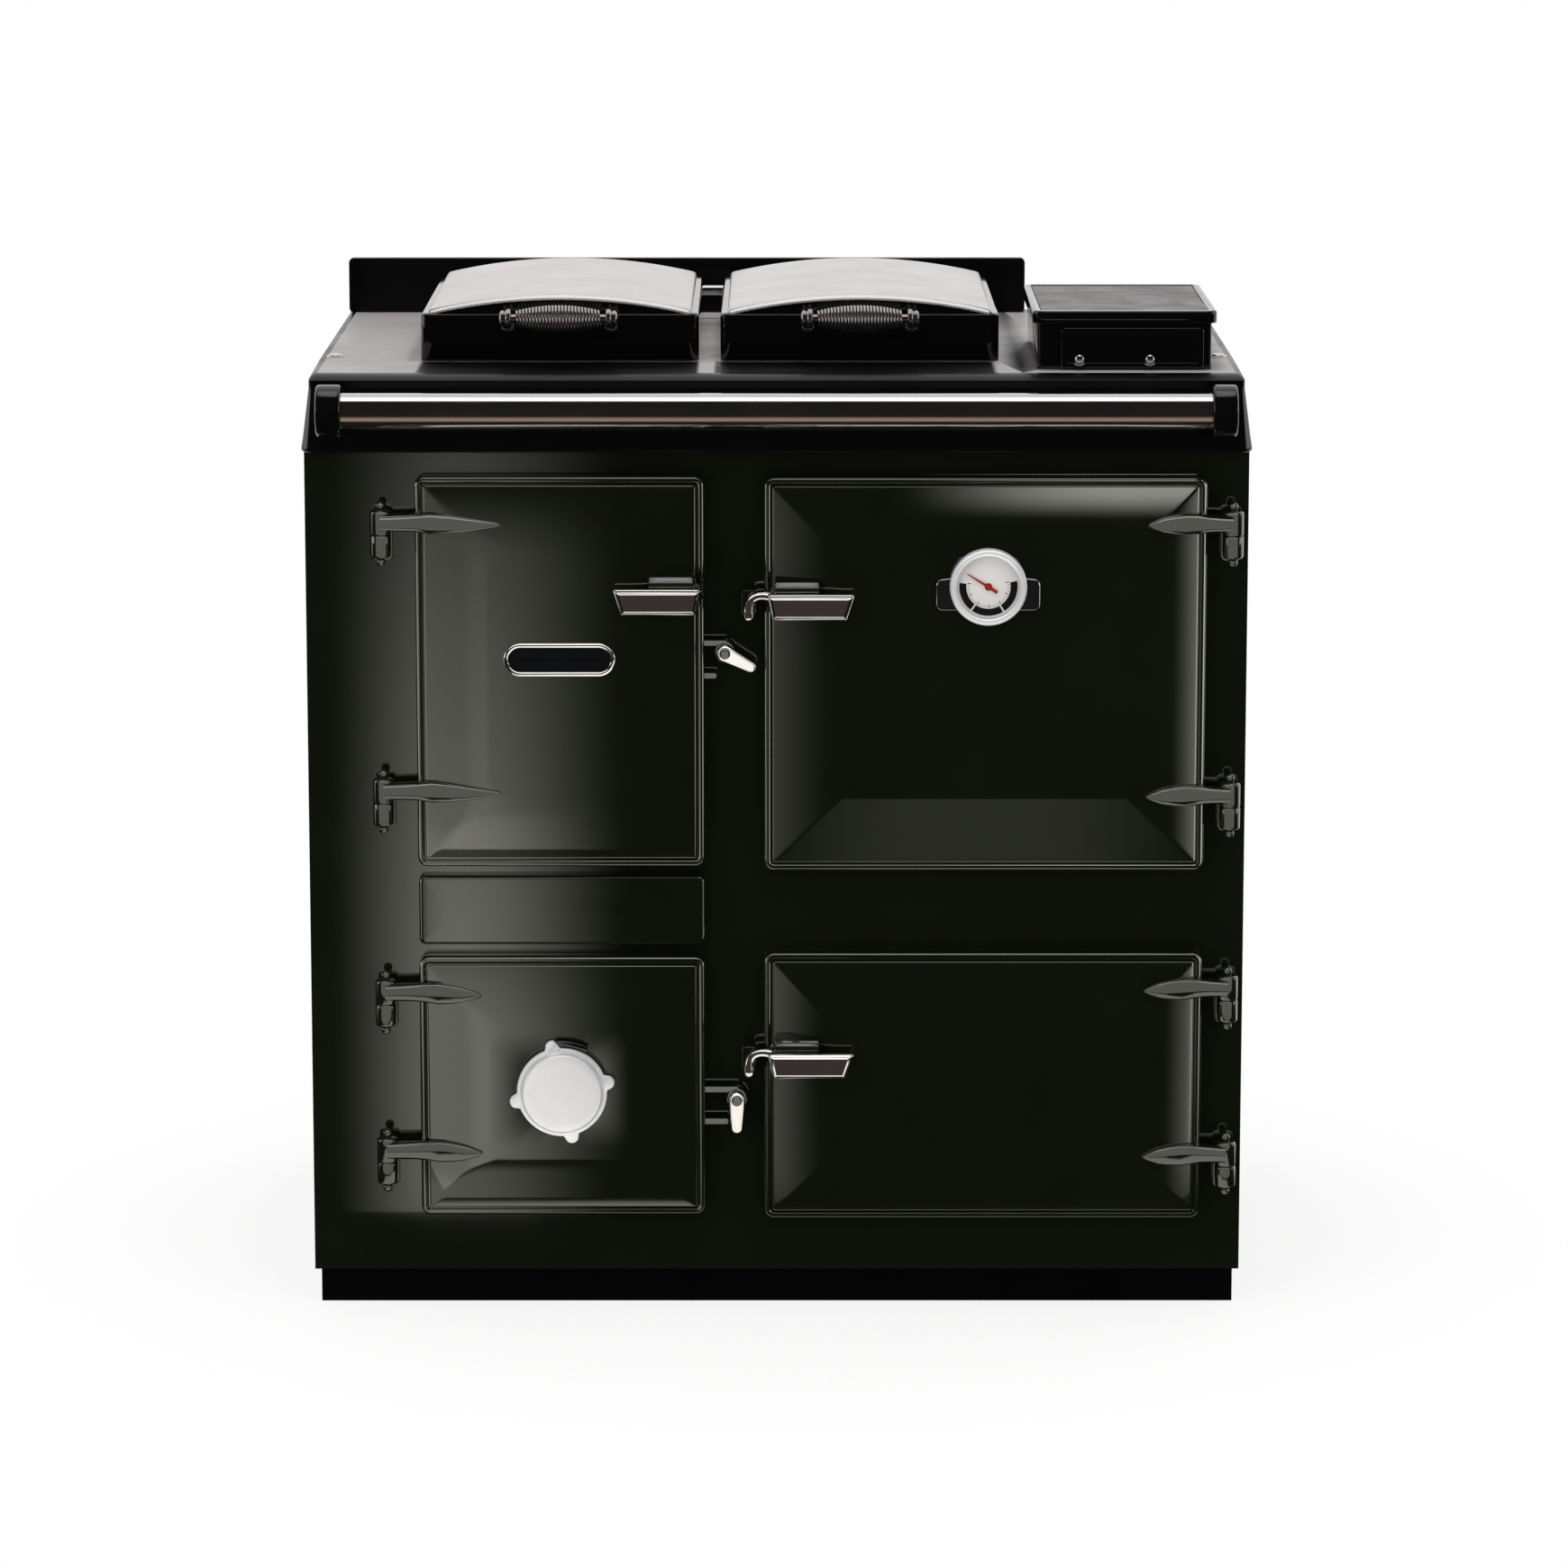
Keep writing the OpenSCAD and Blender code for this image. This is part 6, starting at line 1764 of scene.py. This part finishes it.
@dataclass(frozen=True)
class Panel:
    """A soft light before the cooker. Only reflections on the named pieces see it, and its edges fade.

    Attributes:
        name: name of the lamp.
        x: left and right limit in metres, at half brightness.
        up: lower and upper limit in metres, at half brightness. On a flat panel, front and back limit.
        depth: Y of an upright panel, or Z of a flat one. Panels that overlap lie at different depths.
        soft: widths of the fading edges, left, right, low and high.
        strength: brightness of its middle.
        lights: start of the names of the pieces that show it.
        tint: colour of its light.
        flat: it lies and shines up. Otherwise it stands and faces the cooker.
    """

    name: str
    x: Pair
    up: Pair
    depth: float
    soft: tuple[float, float, float, float]
    strength: float
    lights: tuple[str, ...]
    tint: str = "#FFFFF2"
    flat: bool = False

    def fade(self, tree: Tree) -> None:
        """Adds the lamp's brightness over its face: the product of a soft step at each of its limits.

        Args:
            tree: the lamp's nodes.
        """
        place = add_node(tree, "NewGeometry").outputs["Position"]
        parts = add_node(tree, "SeparateXYZ", {0: place}).outputs
        level = 1.0
        for k, (limit, soft) in enumerate(zip(self.x + self.up, self.soft)):
            across = parts["XXYY"[k] if self.flat else "XXZZ"[k]]
            levels = (1.0, 0.0) if k % 2 else (0.0, 1.0)
            inputs = course(across, (limit - soft / 2, limit + soft / 2), levels)
            step = add_node(tree, "MapRange", inputs, **SOFT)
            level = add_node(tree, "Math", {0: level, 1: step}, operation="MULTIPLY")
        add_node(tree, "OutputLight", {"Surface": add_node(tree, "Emission", {"Strength": level})})

    def build(self) -> None:
        """Makes the lamp, its fading edges and the list of pieces that show it."""
        left, right, low, high = (
            limit + way * soft / 2 for limit, way, soft in zip(self.x + self.up, (-1, 1, -1, 1), self.soft)
        )
        data = bpy.data.lights.new(self.name, "AREA")
        data.shape = "RECTANGLE"
        data.size, data.size_y = right - left, high - low
        data.energy = 4.0 * data.size * data.size_y * self.strength
        data.color = linear(self.tint)[:3]
        data.use_nodes = True
        data.node_tree.nodes.clear()
        self.fade(data.node_tree)
        lamp = bpy.data.objects.new(self.name, data)
        across, up = (left + right) / 2, (low + high) / 2
        lamp.location = (across, up, self.depth) if self.flat else (across, self.depth, up)
        lamp.rotation_euler = (math.radians(180.0 if self.flat else 90.0), 0.0, 0.0)
        lamp.visible_camera = lamp.visible_diffuse = False
        bpy.context.scene.collection.objects.link(lamp)
        shine_on(lamp, self.lights)


FIRE_DOOR = ("fire_door_casting",)
ASH_DOOR = ("ash_door_casting",)
MAIN_DOOR = ("main_oven_door_casting",)
LOWER_DOOR = ("lower_oven_door_casting",)
LEFT_DOORS = FIRE_DOOR + ASH_DOOR
OVEN_DOORS = MAIN_DOOR + LOWER_DOOR
DOORS = LEFT_DOORS + OVEN_DOORS + ("middle_panel",)
LEFT_FRONT = LEFT_DOORS + ("front_plate", "middle_panel", "spinwheel")
STRAPS = ("fire_door_straps", "ash_door_straps", "main_oven_straps", "lower_oven_straps", "hinge_lugs")
LEVERS = ("fire_door_handle", "main_oven_handle", "lower_oven_handle")
LATCHES = ("fire_door_latch", "ash_door_latch")
GRIPS = ("left_lid_grip", "right_lid_grip")
RIMS = ("thermometer_bezel", "name_plate_bead")
TRIM = RIMS + ("spinwheel",) + STRAPS + LATCHES + LEVERS
COVERS = ("left_lid_sheet", "right_lid_sheet")
RAIL = ("towel_rail_tube",)
EVEN = (0.1, 0.1, 0.1, 0.1)
LONG = (0.1, 0.1, 0.1, 0.2)
DAYLIGHT = "#FFFFFA"

# The soft panels that the front shows, in the order of Panel's values
PANELS = (
    ("Left strip", (-0.394, -0.2475), (-0.4, 0.66), -0.66, (0.14, 0.19, 0.02, 1.0), 1.3, LEFT_FRONT),
    ("Left board", (-1.0, -0.394), (-0.4, 0.66), -0.68, (0.1, 0.14, 0.02, 1.0), 1.1, LEFT_DOORS),
    ("Ash board", (-0.5, -0.25), (-0.06, 0.105), -0.40, (0.1, 0.18, 0.01, 0.03), 0.75, ASH_DOOR),
    ("Fire board", (-0.5, -0.25), (0.2, 0.45), -0.42, (0.1, 0.16, 0.1, 0.03), 0.28, FIRE_DOOR),
    ("Centre board", (-0.55, -0.19), (0.0, 0.8), -0.65, (0.1, 0.26, 0.1, 0.2), 0.5, OVEN_DOORS),
    ("Right board", (0.65, 1.1), (0.0, 0.95), -0.66, (0.14, 0.1, 0.1, 0.2), 2.2, MAIN_DOOR),
    ("Low right board", (0.69, 1.2), (0.0, 0.95), -0.66, (0.22, 0.1, 0.1, 0.2), 1.05, LOWER_DOOR),
    ("Low board", (0.05, 0.36), (-0.2, 0.36), -0.63, (0.2, 0.2, 0.02, 0.03), 0.17, MAIN_DOOR),
    ("High board", (0.235, 0.44), (0.913, 1.2), -0.63, (0.23, 0.03, 0.063, 0.05), 2.5, MAIN_DOOR),
    ("Sky board", (-1.4, 1.4), (1.5, 3.2), -1.0, (0.1, 0.1, 0.15, 0.1), 2.2, DOORS),
    ("Far left board", (-4.0, -1.15), (-0.2, 1.2), -0.8, EVEN, 2.2, DOORS),
    ("Far right board", (0.86, 4.0), (-0.2, 1.2), -0.8, (0.06, 0.1, 0.1, 0.1), 2.2, DOORS),
    ("Warm board", (-1.4, 1.4), (0.0, 0.58), -0.80, LONG, 0.45, RAIL, "#D9B9A4"),
    ("Lever board", (-1.0, 1.0), (0.0, 1.0), -0.85, LONG, 0.055, LEVERS, "#DCC2C0"),
    ("Grip board", (-1.0, 1.0), (0.6, 1.2), -0.9, LONG, 0.8, GRIPS, "#E8DEDC"),
    ("Latch board", (-0.6, 0.5), (0.0, 0.9), -0.9, EVEN, 1.3, LATCHES, DAYLIGHT),
    ("Strap board", (-1.3, 1.3), (-0.2, 1.3), -1.1, (0.1, 0.1, 0.2, 0.3), 0.8, STRAPS),
    ("Trim board", (-1.3, 1.3), (1.25, 2.1), -1.02, (0.1, 0.1, 0.15, 0.1), 2.6, TRIM, DAYLIGHT),
    ("Cover board", (-0.8, 0.8), (1.0, 3.0), -1.0, (0.1, 0.1, 0.05, 0.1), 1.3, COVERS, "#FFFFFF"),
    ("Bezel board", (-0.3, 0.9), (0.0, 0.52), -0.82, (0.2, 0.2, 0.1, 0.1), 1.3, RIMS, DAYLIGHT),
)
FLAT_PANELS = (
    ("Floor board", (-0.6, 0.6), (-0.56, -0.36), 0.004, (0.1, 0.1, 0.04, 0.01), 1.2, FIRE_DOOR + MAIN_DOOR),
    ("Foot board", (-0.6, 0.6), (-0.385, -0.35), 0.002, (0.1, 0.1, 0.02, 0.01), 1.2, ASH_DOOR + LOWER_DOOR),
    ("Under board", (-0.6, 0.6), (-0.9, -0.36), 0.006, (0.1, 0.1, 0.1, 0.01), 1.2, TRIM),
)


@dataclass
class Studio:
    """White background, soft light, floor and camera.

    Attributes:
        ahead: brightness of the dim front of the studio, in reflections.
        above: brightness of the top of the studio, in reflections.
        beside: brightness of its left and right, in reflections.
        fill: brightness of the even light on matt surfaces.
        floor_size: half the side of the floor in metres.
        lens: the camera's focal length in millimetres, on a 36 mm sensor.
        eye: the camera's place: before the cooker, level with a tall person's eyes.
        tilt: how far the camera looks down, in degrees.
        pan: how far it looks to the right, in radians.
    """

    ahead: float = 0.012
    above: float = 2.2
    beside: float = 2.0
    fill: float = 0.8
    floor_size: float = 40.0
    lens: float = 141.7
    eye: Place = (0.0035, -6.2, 1.595)
    tilt: float = 10.33
    pan: float = 0.0006

    def build(self) -> None:
        """Makes the world, the lamps, the floor and the camera."""
        bpy.context.scene.view_settings.view_transform = "Standard"
        self.world()
        self.lamp("Overhead bank", (0.0, -0.6, 3.2), (0.0, 0.0, 0.4), 2.6, 40.0)
        self.lamp("Left key", (-3.4, -4.6, 2.6), (0.0, 0.0, 0.5), 1.8, 45.0)
        self.lamp("Hob lamp", (0.2, -0.1, 2.6), (0.2, -0.1, 0.9), 0.3, 17.0, ("top_plate_deck", "hotplate"))
        for values in PANELS:
            Panel(*values).build()
        for values in FLAT_PANELS:
            Panel(*values, flat=True).build()
        self.floor()
        self.camera()

    def world(self) -> None:
        """World: white to the camera, dark front and white back to reflections, even to matt surfaces."""
        world = bpy.data.worlds.new("Soft studio")
        bpy.context.scene.world = world
        world.use_nodes = True
        tree = world.node_tree
        tree.nodes.clear()
        way = add_node(tree, "TexCoord").outputs["Generated"]
        parts = add_node(tree, "SeparateXYZ", {0: way}).outputs
        back = add_node(tree, "MapRange", course(parts["Y"], (-0.25, 0.25), (self.ahead, 1.0)), **SOFT)
        above = add_node(tree, "MapRange", course(parts["Z"], (0.93, 0.99), (0.0, self.above)), **SOFT)
        across = add_node(tree, "Math", {0: parts["X"]}, operation="ABSOLUTE")
        beside = add_node(tree, "MapRange", course(across, (0.90, 0.985), (0.0, self.beside)), **SOFT)
        edges = add_node(tree, "Math", {0: above, 1: beside}, operation="MAXIMUM")
        total = add_node(tree, "Math", {0: back, 1: edges}, operation="MAXIMUM")
        rays = add_node(tree, "LightPath").outputs
        inputs = {0: rays["Is Glossy Ray"], 2: self.fill, 3: total}
        mirrored = add_node(tree, "Mix", inputs, data_type="FLOAT")
        seen = add_node(tree, "Mix", {0: rays["Is Camera Ray"], 2: mirrored, 3: 1.0}, data_type="FLOAT")
        light = add_node(tree, "Background", {"Color": WHITE, "Strength": seen})
        add_node(tree, "OutputWorld", {"Surface": light})

    def lamp(
        self, name: str, place: Place, aim: Place, size: float, power: float, lights: tuple[str, ...] = ()
    ) -> None:
        """Adds a square area lamp that only matt surfaces see.

        Args:
            name: name of the lamp.
            place: where it hangs, in metres.
            aim: the point that it faces.
            size: length of its side.
            power: its power in watts.
            lights: start of the names of the pieces that it lights, or none for everything.
        """
        data = bpy.data.lights.new(name, "AREA")
        data.shape = "SQUARE"
        data.size = size
        data.energy = power
        lamp = bpy.data.objects.new(name, data)
        lamp.location = place
        lamp.rotation_euler = Vector(np.subtract(aim, place)).to_track_quat("-Z", "Y").to_euler()
        lamp.visible_camera = lamp.visible_glossy = False
        bpy.context.scene.collection.objects.link(lamp)
        if lights:
            shine_on(lamp, lights)

    def floor(self) -> None:
        """Pale floor, which turns to the background's white away from the cooker and keeps its shadow."""
        half = self.floor_size
        corners = [(-half, -half, 0.0), (half, -half, 0.0), (half, half, 0.0), (-half, half, 0.0)]
        mesh = bpy.data.meshes.new("floor")
        mesh.from_pydata(corners, [], [(0, 1, 2, 3)])
        floor = bpy.data.objects.new("floor", mesh)
        bpy.context.scene.collection.objects.link(floor)
        paint = bpy.data.materials.new("Pale studio floor")
        paint.use_nodes = True
        mesh.materials.append(paint)
        tree = paint.node_tree
        shader = tree.nodes["Principled BSDF"]
        feed(tree, shader, {"Base Color": linear("#F4F3F1"), "Roughness": 0.8})
        place = add_node(tree, "TexCoord").outputs["Object"]
        far = add_node(tree, "VectorMath", {0: place}, operation="LENGTH").outputs["Value"]
        fade = add_node(tree, "MapRange", course(far, (0.5, 0.9), (0.82, 1.0)), **SOFT)
        white = add_node(tree, "Emission", {"Color": WHITE, "Strength": 1.0})
        seen = add_node(tree, "MixShader", {0: fade, 1: shader, 2: white})
        parts = add_node(tree, "SeparateXYZ", {0: place}).outputs
        # Painted reflection: to reflections the floor is a glow, dark before the cooker and bright behind it
        level = add_node(tree, "MapRange", course(parts["Y"], (-0.2, 0.4), (self.ahead, 0.9)), **SOFT)
        painted_reflection_glow = add_node(tree, "Emission", {"Color": WHITE, "Strength": level})
        mirror = add_node(tree, "LightPath").outputs["Is Glossy Ray"]
        shown = add_node(tree, "MixShader", {0: mirror, 1: seen, 2: painted_reflection_glow})
        feed(tree, tree.nodes["Material Output"], {"Surface": shown})

    def camera(self) -> None:
        """Camera at the photograph's angle."""
        data = bpy.data.cameras.new("Camera")
        data.lens = self.lens
        data.sensor_width = 36.0
        data.clip_end = 200.0
        camera = bpy.data.objects.new("Camera", data)
        camera.location = self.eye
        camera.rotation_euler = (math.radians(90.0 - self.tilt), 0.0, -self.pan)
        bpy.context.scene.collection.objects.link(camera)
        bpy.context.scene.camera = camera


# ---------- assembly ----------


def build_doors() -> None:
    """Makes the four doors with everything that they carry."""
    fire = Door("fire_door", "fire_door_straps", 1.9, 26.0)
    ash = Door("ash_door", "ash_door_straps", 1.9, 18.0, port=(-209.0, 223.0, 30.0))
    main_oven = Door("main_oven_door", "main_oven_straps", 1.25, 3.0, bevel=(8.6, 74.0))
    lower_oven = Door("lower_oven_door", "lower_oven_straps", 1.5, 4.0)
    hinges = (
        Hinges(fire, -381.0, 116.0, 44.0, 75.0),
        Hinges(ash, -381.0, 94.0, 34.0, 66.0),
        Hinges(main_oven, 439.0, 82.0, 44.0, 75.0),
        Hinges(lower_oven, 439.0, 82.0, 34.0, 66.0),
    )
    for door in (fire, ash, main_oven, lower_oven):
        door.build()
    lugs = Shell()
    for pair in hinges:
        pair.build()
        pair.add_lugs(lugs)
    make_piece("hinge_lugs_cast", lugs, GREEN, "hinge_lugs")
    Lever("fire_door_handle", fire, (-85.0, 707.0), -1.0, tailed=False).build()
    Lever("main_oven_handle", main_oven, (3.0, 702.0), 1.0).build()
    Lever("lower_oven_handle", lower_oven, (3.0, 252.0), 1.0).build()
    SideLatch("fire_door_latch", fire, (-50.0, 652.0), 62.0).build()
    SideLatch("ash_door_latch", ash, (-39.0, 210.0), 0.0).build()
    NamePlate().build()
    SpinWheel().build()
    Thermometer().build()


def main() -> None:
    """Builds the cooker piece by piece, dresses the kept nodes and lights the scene."""
    logging.basicConfig(level=logging.INFO, format="%(message)s", stream=sys.stdout)
    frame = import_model()
    build_doors()
    Casing().build()
    TowelRail().build()
    Lid("left_lid").build()
    Lid("right_lid").build()
    Flue().build()
    Kept.dress(frame["nodes"])
    Studio().build()


if __name__ == "__main__":
    main()
